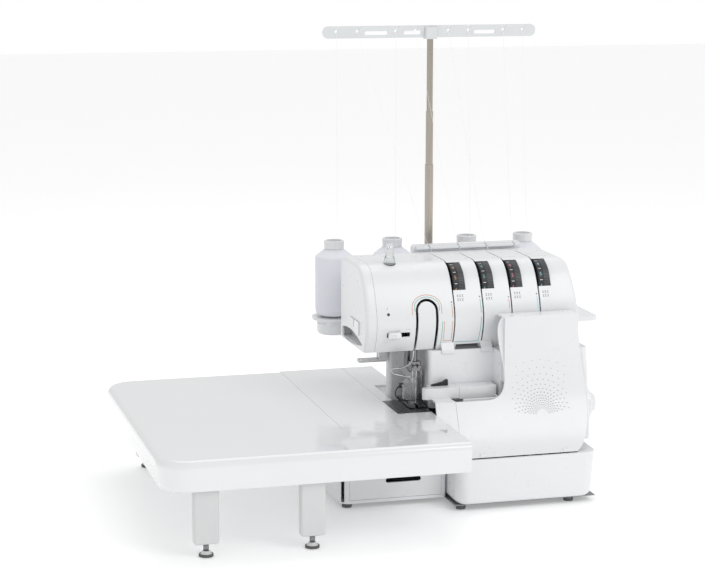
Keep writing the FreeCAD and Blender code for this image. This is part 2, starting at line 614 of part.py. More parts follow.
# ---- drive ----------------------------------------------------------------------------------------
def frame_casting():
    """Cast frame: base rail, two bearing walls, an arm beam and the needle-bar head."""
    beam_back = BEAM_Y + 12
    walls = [block(x, x + 8, COLUMN_FRONT + 3.5, beam_back, 70, 184) for x in WALL_X]
    rail = block(WALL_X[0], WALL_X[1] + 8, 110, 122, 70, 82)
    posts = [block(x, x + 8, BEAM_Y, beam_back, 183, 284) for x in WALL_X]
    beam = block(24, WALL_X[1] + 8, BEAM_Y, beam_back, 272, 284)
    bars = [block(NEEDLE_X - 7, NEEDLE_X + 7, 63, BEAM_Y + 1, z, z + 8) for z in (206, 236)]
    guide = block(57, 75, PRESSER_Y + 2, PRESSER_Y + 10, 206, 273)
    guide_arm = block(57, 75, PRESSER_Y + 2, BEAM_Y + 1, 262, 273)
    pivot = fused(block(LIFTER_X - 6, LIFTER_X + 6, BEAM_Y, beam_back, 192, 273),
                  rod(LIFTER_X, 111, LIFTER_Z, 3.0, BEAM_Y - 110, V(0, 1, 0)))
    knob_nut = block(36, 50, 88, BEAM_Y + 1, 262, 272)
    bed = [block(40, 50, y, y + 4, 106, TABLE_TOP - 2.55) for y in (40, 87)]
    bed_rail = fused(block(40, 46, 40, 91, 92, 107), block(40, WALL_X[0] + 4, 92, 98, 88, 98),
                     block(40, 46, 87, 98, 88, 107))
    looper_pin = [rod(x, y - 2, LOOPER_Z, 2.5, 58 - y, V(0, 1, 0)) for x, y in LOOPERS]
    looper_beam = fused(block(52, 96, 55.5, 59.5, LOOPER_Z - 6, LOOPER_Z + 5),
                        block(52, 60, 55.5, 93, LOOPER_Z - 6, LOOPER_Z + 4), *looper_pin)
    frame = fused(rail, beam, guide, guide_arm, pivot, knob_nut, bed_rail, looper_beam,
                  *walls, *posts, *bars, *bed)
    bores = [rod_x(105, 260, SHAFT_Y, SHAFT_Z, SHAFT_R + 0.05),
             rod(NEEDLE_X, NEEDLE_Y, 190, 3.65, 100), rod(PRESSER_X, PRESSER_Y, 190, 3.65, 100),
             rod(43, 96, 255, 4.05, 30)]
    return frame.cut(Part.makeCompound(bores))


def main_shaft():
    """Shaft from the looper drive to the handwheel, with crank discs and the driven pulley."""
    shaft = rod_x(100, 300, SHAFT_Y, SHAFT_Z, SHAFT_R)
    crank = rod_x(100, 108, SHAFT_Y, SHAFT_Z, 10)
    counterweight = rod_x(200, 212, SHAFT_Y + 4, SHAFT_Z, 14)
    pulley = rod_x(258, 272, SHAFT_Y, SHAFT_Z, DRIVE_PULLEY_R)
    groove = rod_x(260, 270, SHAFT_Y, SHAFT_Z, DRIVE_PULLEY_R + 1).cut(
        rod_x(259, 271, SHAFT_Y, SHAFT_Z, DRIVE_PULLEY_R - 4))
    return fused(shaft, crank, counterweight, pulley).cut(groove)


def handwheel():
    """Handwheel with a wide rim disc and a smaller ribbed grip."""
    disc = rod_x(297.5, 304, SHAFT_Y, SHAFT_Z, 24.5)
    disc = disc.makeFillet(2.2, [e for e in disc.Edges if abs(e.BoundBox.XLength) < 0.1])
    grip = rod_x(302, 314, SHAFT_Y, SHAFT_Z, 12.8)
    grip = grip.makeFillet(2.5, [e for e in grip.Edges if e.BoundBox.XMin > 313])
    bore = rod_x(290, 300.05, SHAFT_Y, SHAFT_Z, SHAFT_R + 0.02)
    notches = []
    for step in range(12):
        angle = math.radians(30 * step)
        notches.append(rod_x(306, 316, SHAFT_Y + 13.6 * math.cos(angle), SHAFT_Z + 13.6 * math.sin(angle), 1.4))
    return fused(disc, grip).cut(Part.makeCompound(notches + [bore]))


def motor():
    """Motor can with end plates, feet and a bore for its shaft."""
    can = rod_x(170, 246, MOTOR_Y, MOTOR_Z, 26)
    rings = [rod_x(x, x + 5, MOTOR_Y, MOTOR_Z, 27.5) for x in (170, 241)]
    feet = block(176, 240, MOTOR_Y - 30, MOTOR_Y + 30, BASE_BOTTOM, BASE_BOTTOM + 5)
    stand = block(180, 236, MOTOR_Y - 12, MOTOR_Y + 12, BASE_BOTTOM, MOTOR_Z - 20)
    return fused(can, feet, stand, *rings).cut(rod_x(230, 250, MOTOR_Y, MOTOR_Z, 3.05))


def motor_pulley():
    shaft = rod_x(231, 272, MOTOR_Y, MOTOR_Z, 3.0)
    pulley = rod_x(258, 272, MOTOR_Y, MOTOR_Z, MOTOR_PULLEY_R + 3)
    groove = rod_x(260, 270, MOTOR_Y, MOTOR_Z, MOTOR_PULLEY_R + 4).cut(
        rod_x(259, 271, MOTOR_Y, MOTOR_Z, MOTOR_PULLEY_R))
    return fused(shaft, pulley.cut(groove))


def belt_loop(grow, x0, x1):
    """The outline round both pulleys, grown by a distance, as a slab."""
    a, b = V(0, SHAFT_Y, SHAFT_Z), V(0, MOTOR_Y, MOTOR_Z)
    ra, rb = DRIVE_PULLEY_R - 4 + grow, MOTOR_PULLEY_R + grow
    span = b.sub(a)
    distance = span.Length
    heading = math.atan2(span.z, span.y)
    tilt = math.acos((ra - rb) / distance)

    def on(centre, radius, angle):
        return V(0, centre.y + radius * math.cos(angle), centre.z + radius * math.sin(angle))

    a1, a2 = on(a, ra, heading + tilt), on(a, ra, heading - tilt)
    b1, b2 = on(b, rb, heading + tilt), on(b, rb, heading - tilt)
    edges = [Part.Arc(a1, on(a, ra, heading + math.pi), a2).toShape(), Part.makeLine(a2, b2),
             Part.Arc(b2, on(b, rb, heading), b1).toShape(), Part.makeLine(b1, a1)]
    face = Part.Face(Part.Wire(edges))
    return face.translated(V(x0, 0, 0)).extrude(V(x1 - x0, 0, 0))


def drive_belt():
    return belt_loop(2.6, BELT_X0, BELT_X1).cut(belt_loop(0.3, BELT_X0 - 1, BELT_X1 + 1))


def power_inlet():
    """Two-pin inlet socket let into the right side of the base."""
    body = block(272, 295.4, 118 + GAP, 152 - GAP, 20 + GAP, 46 - GAP)
    socket = rounded(block(279, 300, 124, 146, 25, 41), 4, lambda p, t: abs(t.x) > 0.9)
    pins = [rod_x(278, 291, y, 33, 1.5) for y in (131, 139)]
    return fused(body.cut(socket), *pins)


def power_switch():
    """Rocker switch cap above the inlet, on the right side."""
    cap = slab(face_of([(0, 0), (3.4, 7), (0.6, 14), (-6, 14), (-6, 0)], "xz"), 0, 10)
    cap.translate(V(295.2, 100, 24))
    return cap.cut(rod(292, 99, 31, 1.2, 12, V(0, 1, 0)))


# ---- tension dials --------------------------------------------------------------------------------
def tension_dial(x):
    """Knurled dial that turns about X, sunk in the head's front edge."""
    wheel = rod_x(x - DIAL_WIDTH / 2, x + DIAL_WIDTH / 2, DIAL_Y, DIAL_Z, DIAL_R)
    wheel = wheel.makeChamfer(0.8, [e for e in wheel.Edges if abs(e.BoundBox.XLength) < 0.1])
    hollow = rod_x(x - DIAL_WIDTH / 2 + 4, x + DIAL_WIDTH, DIAL_Y, DIAL_Z, DIAL_R - 5)
    hub = rod_x(x - DIAL_WIDTH / 2 + 3, x + DIAL_WIDTH / 2, DIAL_Y, DIAL_Z, 6)
    bore = rod_x(x - DIAL_WIDTH, x + DIAL_WIDTH, DIAL_Y, DIAL_Z, 3.05)
    return fused(wheel.cut(hollow), hub).cut(bore)


def tension_shafts():
    """Fixed post of each dial with its pair of tension discs and a mounting foot."""
    solids = []
    for x, slot in zip(DIAL_X, THREAD_SLOT_X):
        post = rod_x(slot - 8, x + DIAL_WIDTH / 2 + 1, DIAL_Y, DIAL_Z, 3.0)
        discs = [rod_x(slot + dx, slot + dx + 0.9, DIAL_Y, DIAL_Z, 12) for dx in (-1.8, 0.9)]
        foot = block(slot - 8, slot - 4, 84, 100, 256, 284)
        solids.append(fused(post, foot, *discs))
    return group(solids)


# ---- spool stand ----------------------------------------------------------------------------------
def rear_thread_guide():
    """Bar along the head's rear top edge with a hooked notch for each thread."""
    bar = rounded(block(99, 250, 178.4, 188, 284, 304), 4, lambda p, t: abs(t.y) > 0.9)
    lip = block(103, 246, 172, 180, 299, 302)
    notches = [block(x - 1.0, x + 1.0, 160, 192, 296.5, 310) for x in NOTCH_X]
    return fused(bar, lip).cut(Part.makeCompound(notches))


def spool_stand():
    """Tray with four round cups, a forward wing on the right and two arms to the machine's back."""
    tray = round_box(-8, WING_RIGHT, 212, 266, STAND_Z - 6, STAND_Z, 8)
    wing = round_box(301, WING_RIGHT, 158, 230, STAND_Z - 6, STAND_Z, 8)
    cup_form = [(0, 180), (21, 180), (23, 182.5), (23, 194.4), (22, 194.4), (22, 195.6), (23, 195.6),
                (23, STAND_Z), (0, STAND_Z)]
    cups = [turned(cup_form, x, CONE_Y) for x in CONE_X]
    arms = [block(x, x + 18, HEAD_REAR + 0.05, 220, STAND_Z - 12, STAND_Z - 2) for x in (84, 230)]
    discs = [rod(x, CONE_Y, STAND_Z - 0.5, 30, 3.5) for x in CONE_X]
    pins = [Part.makeCone(5.5, 3.4, 92, V(x, CONE_Y, STAND_Z)) for x in CONE_X]
    boss = rod(MAST_X, MAST_Y, MAST_BASE, 11, STAND_Z + 6 - MAST_BASE)
    body = fused(tray, wing, boss, *cups, *arms, *discs, *pins)
    return body.cut(rod(MAST_X, MAST_Y, MAST_BASE + 3, MAST_R[0] + 0.02, 60))


def cone_cores():
    """Plastic cores: a hollow cone under the winding and a round cap above it."""
    solids = []
    for x in CONE_X:
        outer = [(18, 204), (18, 206), (8.8, 294.6), (13.0, 294.6), (13.6, 304.6), (12.8, 305.5),
                 (10.2, 305.5), (10.2, 301), (7.8, 301), (7.8, 296), (16.5, 204)]
        solids.append(turned(outer, x, CONE_Y))
    return group(solids)


def thread_windings():
    """Wound thread on each cone."""
    solids = []
    for x in CONE_X:
        solids.append(turned([(18.3, 207.5), (23.6, 206.5), (25.4, 213), (25.4, 283), (24.6, 285), (13.8, 293.4),
                              (12.6, 294.2), (9.5, 294.2), (9.5, 292.8)], x, CONE_Y))
    return group(solids)


def mast_tube(z0, z1, outer, inner):
    """One mast section; the top one is solid."""
    tube = rod(MAST_X, MAST_Y, z0, outer, z1 - z0)
    return tube.cut(rod(MAST_X, MAST_Y, z0 - 1, inner, z1 - z0 + 2)) if inner else tube


def mast_sections():
    """Lower, middle and upper mast; each section runs on inside the one below."""
    lower = mast_tube(MAST_BASE + 3.05, MAST_SECTION_TOPS[0], MAST_R[0], MAST_R[1] + 0.05)
    middle = mast_tube(MAST_SECTION_TOPS[0] - MAST_OVERLAP, MAST_SECTION_TOPS[1], MAST_R[1], MAST_R[2] + 0.05)
    upper = mast_tube(MAST_SECTION_TOPS[1] - MAST_OVERLAP, MAST_SECTION_TOPS[2], MAST_R[2], None)
    return lower, middle, upper


def guide_bar():
    """Thread guide bar on top of the mast, with an eye and a slit for each thread."""
    half_h = BAR_HEIGHT / 2
    bar = block(MAST_X - BAR_HALF, MAST_X + BAR_HALF, MAST_Y - 1.3, MAST_Y + 1.3, BAR_Z - half_h, BAR_Z + half_h)
    bar = rounded(bar, half_h - 0.5, lambda p, t: abs(t.y) > 0.9)
    clip = round_box(MAST_X - 8, MAST_X + 8, MAST_Y - 6.5, MAST_Y + 6.5, BAR_Z - 10, BAR_Z + 6, 2)
    cuts = []
    for x in EYE_IN_X + EYE_OUT_X:
        cuts.append(rod(x, MAST_Y - 3, BAR_Z + 1, 2.2, 6, V(0, 1, 0)))
        slit = block(x - 0.6, x + 0.6, MAST_Y - 3, MAST_Y + 3, BAR_Z, BAR_Z + 12)
        slit.rotate(V(x, MAST_Y, BAR_Z + 1), V(0, 1, 0), 32)
        cuts.append(slit)
    for x0, x1 in ((50, 82), (104, 128), (202, 232)):
        cuts.append(rounded(block(x0, x1, MAST_Y - 3, MAST_Y + 3, BAR_Z - 4, BAR_Z + 1), 2.2,
                            lambda p, t: abs(t.y) > 0.9))
    socket = rod(MAST_X, MAST_Y, BAR_Z - 11, MAST_R[2] + 0.02, MAST_SECTION_TOPS[2] - BAR_Z + 11.05)
    return fused(bar.cut(Part.makeCompound(cuts)), clip).cut(socket)


# ---- threads --------------------------------------------------------------------------------------
def thread_points(index):
    """Route of one thread: cone, guide bar eyes, rear guide notch, slot in the head's top."""
    near, far = MAST_Y - 2.4, MAST_Y + 2.4
    eye_in, eye_out, lip = EYE_IN_X[index], EYE_OUT_X[index], BAR_Z - 0.5
    notch, slot = NOTCH_X[index], THREAD_SLOT_X[index]
    return [V(CONE_X[index], CONE_Y - 16.4, THREAD_LOW),
            V(eye_in, near, lip), V(eye_in, far, lip), V(eye_out, far, lip), V(eye_out, near, lip),
            V(notch, 184, 302.2), V(notch, 169, 299.6), V(slot, 146, 296.7), V(slot, 139, 291.5)]


def thread(index):
    """Straight runs joined by small arcs where the thread turns round an eye or an edge."""
    points = thread_points(index)
    edges = []
    start = points[0]
    tightest = THREAD_BEND
    for before, corner, after in zip(points, points[1:], points[2:]):
        run = min(corner.distanceToPoint(before), corner.distanceToPoint(after))
        into = corner.sub(before).normalize()
        out = after.sub(corner).normalize()
        half_turn = into.getAngle(out) / 2
        bend = min(THREAD_BEND, 0.45 * run / math.tan(half_turn))
        trim = bend * math.tan(half_turn)
        first, last = corner - into * trim, corner + out * trim
        inward = (out - into).normalize()
        middle = corner + inward * (bend / math.cos(half_turn) - bend)
        edges.append(Part.makeLine(start, first))
        edges.append(Part.Arc(first, middle, last).toShape())
        start = last
        tightest = min(tightest, bend)
    edges.append(Part.makeLine(start, points[-1]))
    path = Part.Wire(edges)
    section = Part.Wire(Part.makeCircle(THREAD_R, points[0], points[1].sub(points[0])))
    solid = path.makePipeShell([section], True, False, 1)
    print("thread", index + 1, "length", round(path.Length, 1), "tightest bend", round(tightest, 2),
          "volume over section times length", round(solid.Volume / path.Length / math.pi / THREAD_R ** 2, 3))
    return solid


def screws():
    """Casing screws: pan heads on the back of the column and under the base."""
    solids = []
    for x, z in ((70, 100), (70, 170), (280, 100), (280, 170)):
        head = rod(x, HEAD_REAR + 0.03, z, 3.4, 2.0, V(0, 1, 0))
        solids.append(head.cut(block(x - 2.6, x + 2.6, HEAD_REAR + 1.2, HEAD_REAR + 4, z - 0.5, z + 0.5)))
    return group(solids)


def main():
    os.makedirs("parts", exist_ok=True)
    lower, middle, upper = mast_sections()
    nodes = {
        "machine_feet": machine_feet(), "bottom_plate": bottom_plate(), "left_base": left_base(),
        "accessory_drawer": accessory_drawer(), "base_tray": base_tray(), "rear_cover": rear_cover(),
        "head_cover": head_cover(), "left_end_cover": left_end_cover(), "front_cover": front_cover(),
        "looper_guard": looper_guard(), "needle_plate": needle_plate(),
        "extension_table": extension_table(), "table_insert": table_insert(), "bed_strip": bed_strip(),
        "leg_brackets": leg_brackets(), "tension_shafts": tension_shafts(),
        "take_up_plate": take_up_plate(), "threader_slider": threader_slider(),
        "thread_cutter": thread_cutter(), "needle_bar": needle_bar(), "needle_clamp": needle_clamp(),
        "needles": needles(), "presser_bar": presser_bar(), "presser_foot": presser_foot(),
        "presser_lifter": presser_lifter(), "pressure_knob": pressure_knob(),
        "upper_knife": upper_knife(), "lower_knife": lower_knife(),
        "upper_looper": looper(*LOOPERS[1], 116, -5), "lower_looper": looper(*LOOPERS[0], 110, 6),
        "feed_dogs": feed_dogs(), "frame_casting": frame_casting(), "main_shaft": main_shaft(),
        "handwheel": handwheel(), "motor": motor(), "motor_pulley": motor_pulley(),
        "drive_belt": drive_belt(), "power_inlet": power_inlet(), "power_switch": power_switch(),
        "rear_thread_guide": rear_thread_guide(), "spool_stand": spool_stand(),
        "cone_cores": cone_cores(), "thread_windings": thread_windings(),
        "mast_lower": lower, "mast_middle": middle, "mast_upper": upper,
        "guide_bar": guide_bar(), "screws": screws(),
    }
    for number, x in enumerate(DIAL_X, start=1):
        nodes[f"tension_dial_{number}"] = tension_dial(x)
    for number, (x, y, _) in enumerate(leg_places(), start=1):
        nodes[f"table_leg_{number}"] = table_leg(x, y)
    for index in range(4):
        nodes[f"thread_{index + 1}"] = thread(index)
    for name, shape in nodes.items():
        save(name, shape)
        print(name, len(shape.Solids), shape.isValid(), round(shape.Volume / 1000, 2), "cm3")


main()
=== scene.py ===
import math

import bmesh
import bpy
from bpy.props import FloatProperty, FloatVectorProperty, IntProperty, PointerProperty
from mathutils import Euler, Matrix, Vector
from mathutils.bvhtree import BVHTree


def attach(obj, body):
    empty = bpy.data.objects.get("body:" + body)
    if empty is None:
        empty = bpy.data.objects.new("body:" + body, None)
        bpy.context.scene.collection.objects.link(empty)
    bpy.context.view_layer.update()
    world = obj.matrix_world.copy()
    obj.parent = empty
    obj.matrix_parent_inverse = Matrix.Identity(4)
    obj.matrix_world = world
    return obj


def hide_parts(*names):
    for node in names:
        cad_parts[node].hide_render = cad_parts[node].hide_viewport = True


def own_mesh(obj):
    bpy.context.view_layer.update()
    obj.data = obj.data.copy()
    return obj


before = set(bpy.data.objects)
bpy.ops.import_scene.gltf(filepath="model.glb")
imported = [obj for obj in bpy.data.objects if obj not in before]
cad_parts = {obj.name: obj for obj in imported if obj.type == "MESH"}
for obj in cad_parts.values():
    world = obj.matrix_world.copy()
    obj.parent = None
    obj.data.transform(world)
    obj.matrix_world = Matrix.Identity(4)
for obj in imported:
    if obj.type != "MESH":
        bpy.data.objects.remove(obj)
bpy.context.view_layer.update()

bl_info = {
    "name": "Overlock machine with extension table",
    "version": (1, 0, 0),
    "blender": (4, 5, 0),
    "location": "View3D > Sidebar > Overlock",
    "description": "Builds the finishes and small parts of an overlock machine on its packed frame",
    "category": "Object",
}

# The machine's own drawing has its zero at the front left of the head; the frame's is in the middle.
ORIGIN = Vector((29.0, 79.0, 0.0))
MM = 0.001

THREAD_SLOT_X = (116.5, 155.0, 193.5, 232.0)
DIAL_X = tuple(x + 9.6 for x in THREAD_SLOT_X)
DIAL_AXIS = (92.5, 263.5)
DIAL_RADIUS = 30.0
CONE_X = (7.4, 88.3, 193.7, 274.6)
CONE_Y = 237.5


def place(x, y, z):
    """Machine millimetres to frame metres."""
    return (Vector((x, y, z)) - ORIGIN) * MM


# ---- properties -----------------------------------------------------------------------------------
def colour_property(name, description, default):
    return FloatVectorProperty(name=name, description=description, default=default, subtype="COLOR",
                               size=3, min=0.0, max=1.0)


class SergerShellSettings(bpy.types.PropertyGroup):
    shell: colour_property("Shell", "Colour of the moulded shell", (0.83, 0.845, 0.86))
    table: colour_property("Table", "Colour of the extension table", (0.84, 0.85, 0.86))
    legs: colour_property("Legs", "Colour of the table legs", (0.70, 0.705, 0.71))
    shell_roughness: FloatProperty(name="Shell roughness", description="How dull the shell is",
                                   default=0.3, min=0.0, max=1.0, subtype="FACTOR")
    table_roughness: FloatProperty(name="Table roughness", description="How dull the table top is",
                                   default=0.06, min=0.0, max=1.0, subtype="FACTOR")


class SergerMetalSettings(bpy.types.PropertyGroup):
    steel: colour_property("Steel", "Colour of ground steel parts", (0.48, 0.48, 0.49))
    plate: colour_property("Needle plate", "Colour of the needle plate", (0.20, 0.205, 0.21))
    mast: colour_property("Mast", "Colour of the mast tubes", (0.50, 0.46, 0.40))


class SergerThreadSettings(bpy.types.PropertyGroup):
    colour: colour_property("Thread", "Colour of the thread", (0.86, 0.87, 0.93))
    diameter: FloatProperty(name="Thread diameter", description="Thickness of each thread",
                            default=0.0004, min=0.0003, max=0.002, unit="LENGTH", precision=5)
    winding_pitch: FloatProperty(name="Winding pitch", description="Space between turns on a cone",
                                 default=0.0009, min=0.0003, max=0.005, unit="LENGTH", precision=5)


class SergerPrintSettings(bpy.types.PropertyGroup):
    orange: colour_property("Orange", "First thread path", (0.62, 0.30, 0.15))
    teal: colour_property("Teal", "Second thread path", (0.15, 0.42, 0.41))
    pink: colour_property("Pink", "Third thread path", (0.75, 0.22, 0.30))
    blue: colour_property("Blue", "Fourth thread path", (0.25, 0.60, 0.78))
    dot: FloatProperty(name="Dot", description="Diameter of the largest printed dot on the cover",
                       default=0.0022, min=0.0001, max=0.01, unit="LENGTH", precision=5)
    dot_rings: IntProperty(name="Dot rings", description="Rings of dots on the cover", default=15,
                           min=3, max=40)


class SergerStageSettings(bpy.types.PropertyGroup):
    floor: colour_property("Floor", "Colour of the floor", (0.96, 0.96, 0.96))
    key_power: FloatProperty(name="Key light", description="Power of the main light", default=26.0,
                             min=0.0, unit="POWER")


# ---- finishes -------------------------------------------------------------------------------------
class Finish:
    """A node-built material on Object coordinates."""

    def __init__(self, name, colour, roughness, metallic=0.0):
        self.material = bpy.data.materials.new(name)
        self.material.use_nodes = True
        self.nodes = self.material.node_tree.nodes
        self.links = self.material.node_tree.links
        self.shader = self.nodes["Principled BSDF"]
        self.colour = tuple(colour)
        self.set("Base Color", (*colour, 1.0))
        self.set("Roughness", roughness)
        self.set("Metallic", metallic)
        self.coordinates = self.nodes.new("ShaderNodeTexCoord").outputs["Object"]

    def set(self, socket, value):
        self.shader.inputs[socket].default_value = value
        return self

    def stretched(self, scale):
        mapping = self.nodes.new("ShaderNodeMapping")
        mapping.inputs["Scale"].default_value = scale
        self.links.new(self.coordinates, mapping.inputs["Vector"])
        return mapping.outputs["Vector"]

    def noise(self, scale, detail=3.0, stretch=None):
        node = self.nodes.new("ShaderNodeTexNoise")
        node.inputs["Scale"].default_value = scale
        node.inputs["Detail"].default_value = detail
        self.links.new(self.stretched(stretch) if stretch else self.coordinates, node.inputs["Vector"])
        return node.outputs["Fac"]

    def bands(self, direction, scale, distortion=0.0, stretch=None):
        node = self.nodes.new("ShaderNodeTexWave")
        node.bands_direction = direction
        node.inputs["Scale"].default_value = scale
        node.inputs["Distortion"].default_value = distortion
        self.links.new(self.stretched(stretch) if stretch else self.coordinates, node.inputs["Vector"])
        return node.outputs["Fac"]

    def spread(self, factor, low, high):
        node = self.nodes.new("ShaderNodeMapRange")
        node.inputs["From Min"].default_value = 0.3
        node.inputs["From Max"].default_value = 0.7
        node.inputs["To Min"].default_value = low
        node.inputs["To Max"].default_value = high
        self.links.new(factor, node.inputs["Value"])
        return node.outputs["Result"]

    def tint(self, factor, other):
        node = self.nodes.new("ShaderNodeMix")
        node.data_type = "RGBA"
        node.inputs["A"].default_value = (*self.colour, 1.0)
        node.inputs["B"].default_value = (*other, 1.0)
        self.links.new(factor, node.inputs["Factor"])
        self.links.new(node.outputs["Result"], self.shader.inputs["Base Color"])
        return self

    def vary_roughness(self, factor, low, high):
        self.links.new(self.spread(factor, low, high), self.shader.inputs["Roughness"])
        return self

    def bump(self, height, strength, distance):
        node = self.nodes.new("ShaderNodeBump")
        node.inputs["Strength"].default_value = strength
        node.inputs["Distance"].default_value = distance
        self.links.new(height, node.inputs["Height"])
        previous = self.shader.inputs["Normal"].links
        if previous:
            self.links.new(previous[0].from_socket, node.inputs["Normal"])
        self.links.new(node.outputs["Normal"], self.shader.inputs["Normal"])
        return self


def shade(colour, factor):
    return tuple(min(1.0, c * factor) for c in colour)


def moulded_plastic(name, colour, roughness, coat=0.25):
    """Moulded plastic: faint mottling, a fine grain and slightly uneven gloss."""
    finish = Finish(name, colour, roughness)
    finish.tint(finish.noise(9.0, 2.0), shade(colour, 0.965))
    finish.vary_roughness(finish.noise(60.0), roughness * 0.88, roughness * 1.14)
    finish.bump(finish.noise(1400.0, 2.0), 0.05, 0.0001)
    finish.bump(finish.noise(14.0, 1.0), 0.04, 0.001)
    finish.set("Coat Weight", coat).set("Coat Roughness", roughness * 0.4).set("IOR", 1.5)
    return finish.material


def satin_plastic(name, colour, roughness):
    """Unpolished plastic with a spark-eroded grain."""
    finish = Finish(name, colour, roughness)
    finish.tint(finish.noise(25.0, 3.0), shade(colour, 0.93))
    finish.vary_roughness(finish.noise(220.0), roughness * 0.85, roughness * 1.1)
    finish.bump(finish.noise(2600.0, 3.0), 0.12, 0.0001)
    return finish.material


def milky_plastic(name, colour, roughness, clear):
    """Plastic that lets some light through."""
    finish = Finish(name, colour, roughness)
    finish.tint(finish.noise(30.0, 2.0), shade(colour, 0.95))
    finish.bump(finish.noise(900.0, 2.0), 0.05, 0.0001)
    finish.set("Transmission Weight", clear).set("Coat Weight", 0.4).set("IOR", 1.46)
    return finish.material


def soft_rubber(name, colour):
    finish = Finish(name, colour, 0.75)
    finish.tint(finish.noise(180.0, 4.0), shade(colour, 1.35))
    finish.vary_roughness(finish.noise(90.0), 0.62, 0.85)
    finish.bump(finish.noise(1800.0, 4.0), 0.3, 0.0002)
    return finish.material


def ground_steel(name, colour, roughness, along):
    """Ground or brushed steel: fine scratches along one direction."""
    finish = Finish(name, colour, roughness, 1.0)
    scratches = finish.noise(900.0, 4.0, along)
    finish.tint(scratches, shade(colour, 0.72))
    finish.vary_roughness(scratches, roughness * 0.75, roughness * 1.35)
    finish.bump(scratches, 0.12, 0.00008)
    return finish.material


def polished_chrome(name, colour, roughness):
    finish = Finish(name, colour, roughness, 1.0)
    finish.tint(finish.noise(50.0, 2.0), shade(colour, 0.85))
    finish.vary_roughness(finish.noise(120.0, 3.0), roughness * 0.7, roughness * 1.5)
    finish.bump(finish.noise(600.0, 2.0), 0.03, 0.0001)
    return finish.material


def painted_casting(name, colour):
    """Painted casting with the orange-peel skin of its mould."""
    finish = Finish(name, colour, 0.5)
    finish.tint(finish.noise(140.0, 4.0), shade(colour, 1.3))
    finish.vary_roughness(finish.noise(80.0), 0.4, 0.62)
    finish.bump(finish.noise(700.0, 4.0), 0.35, 0.0003)
    return finish.material


def wound_thread(name, colour, pitch):
    """Turns of thread laid at a shallow angle one way, with a crossing layer under them."""
    finish = Finish(name, colour, 0.62)
    turns = finish.bands("Z", 1.0 / pitch / 3.14, 1.2)
    crossing = finish.bands("DIAGONAL", 0.5 / pitch / 3.14, 0.8, (0.35, 0.35, 1.0))
    finish.tint(finish.spread(turns, 0.0, 1.0), shade(colour, 0.86))
    finish.vary_roughness(finish.noise(300.0, 3.0), 0.55, 0.72)
    finish.bump(turns, 0.3, 0.0003)
    finish.bump(crossing, 0.2, 0.0003)
    finish.set("Sheen Weight", 0.3).set("Sheen Roughness", 0.4)
    return finish.material


def printed_ink(name, colour):
    finish = Finish(name, colour, 0.42)
    finish.tint(finish.noise(900.0, 3.0), shade(colour, 1.12))
    finish.bump(finish.noise(2500.0, 2.0), 0.08, 0.00005)
    return finish.material


MATERIALS = {}


def make_materials(context):
    """All finishes, from the scene's settings."""
    shell, metal = context.scene.serger_shell, context.scene.serger_metal
    thread, ink = context.scene.serger_thread, context.scene.serger_print
    MATERIALS.update({
        "shell": moulded_plastic("shell_white", shell.shell, shell.shell_roughness),
        "table": moulded_plastic("table_gloss_white", shell.table, shell.table_roughness, 0.8),
        "legs": satin_plastic("leg_satin_white", shell.legs, 0.42),
        "drawer": moulded_plastic("drawer_white", shade(shell.shell, 0.97), 0.18, 0.4),
        "knob": moulded_plastic("knob_white", shade(shell.shell, 1.02), 0.24, 0.4),
        "bar": milky_plastic("bar_milky_white", (0.82, 0.84, 0.85), 0.25, 0.12),
        "lever": milky_plastic("lever_milky", (0.80, 0.81, 0.82), 0.22, 0.35),
        "clear": milky_plastic("clear_plastic", (0.92, 0.94, 0.95), 0.05, 0.9),
        "core": satin_plastic("cone_plastic", (0.78, 0.79, 0.80), 0.4),
        "grey": satin_plastic("bracket_grey", (0.22, 0.225, 0.23), 0.45),
        "dial_rim": satin_plastic("dial_rim_grey", (0.10, 0.102, 0.108), 0.4),
        "black": satin_plastic("black_plastic", (0.014, 0.014, 0.016), 0.38),
        "dial": satin_plastic("dial_charcoal", (0.022, 0.023, 0.026), 0.42),
        "rubber": soft_rubber("foot_rubber", (0.09, 0.09, 0.09)),
        "belt": soft_rubber("belt_rubber", (0.02, 0.02, 0.02)),
        "plate": ground_steel("needle_plate_brushed", metal.plate, 0.3, (1.0, 0.04, 1.0)),
        "steel": ground_steel("ground_steel", metal.steel, 0.26, (0.06, 1.0, 1.0)),
        "zinc": ground_steel("zinc_plated_steel", (0.34, 0.345, 0.36), 0.42, (1.0, 1.0, 1.0)),
        "chrome": polished_chrome("polished_chrome", (0.62, 0.62, 0.64), 0.10),
        # Chrome with its base colour darkened: painted dark reflection, standing in for the dark
        # surroundings mirrored in the bars and the other small parts under the head.
        "chrome_painted_dark_reflection": polished_chrome("chrome_painted_dark_reflection", (0.24, 0.24, 0.25), 0.16),
        "mast": ground_steel("mast_warm_steel", metal.mast, 0.17, (1.0, 1.0, 0.03)),
        "casting": painted_casting("painted_casting", (0.16, 0.165, 0.17)),
        "motor": painted_casting("motor_paint", (0.035, 0.035, 0.04)),
        "winding": wound_thread("wound_thread", thread.colour, thread.winding_pitch),
        "thread": printed_ink("single_thread", (0.86, 0.86, 0.88)),
        "ink_grey": printed_ink("ink_grey", (0.17, 0.175, 0.18)),
        "ink_black": printed_ink("ink_black", (0.02, 0.02, 0.022)),
        "ink_orange": printed_ink("ink_orange", ink.orange),
        "ink_teal": printed_ink("ink_teal", ink.teal),
        "ink_pink": printed_ink("ink_pink", ink.pink),
        "ink_blue": printed_ink("ink_blue", ink.blue),
        "ink_white": printed_ink("ink_white", (0.80, 0.81, 0.82)),
        "dot_ink": printed_ink("dot_ink", (0.40, 0.41, 0.42)),
    })


def coat_node(node, finish):
    """Gives a CAD node its finish."""
    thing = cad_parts[node]
    if not thing.material_slots:
        thing.data.materials.append(None)
    for material_slot in thing.material_slots:
        material_slot.material = MATERIALS[finish]


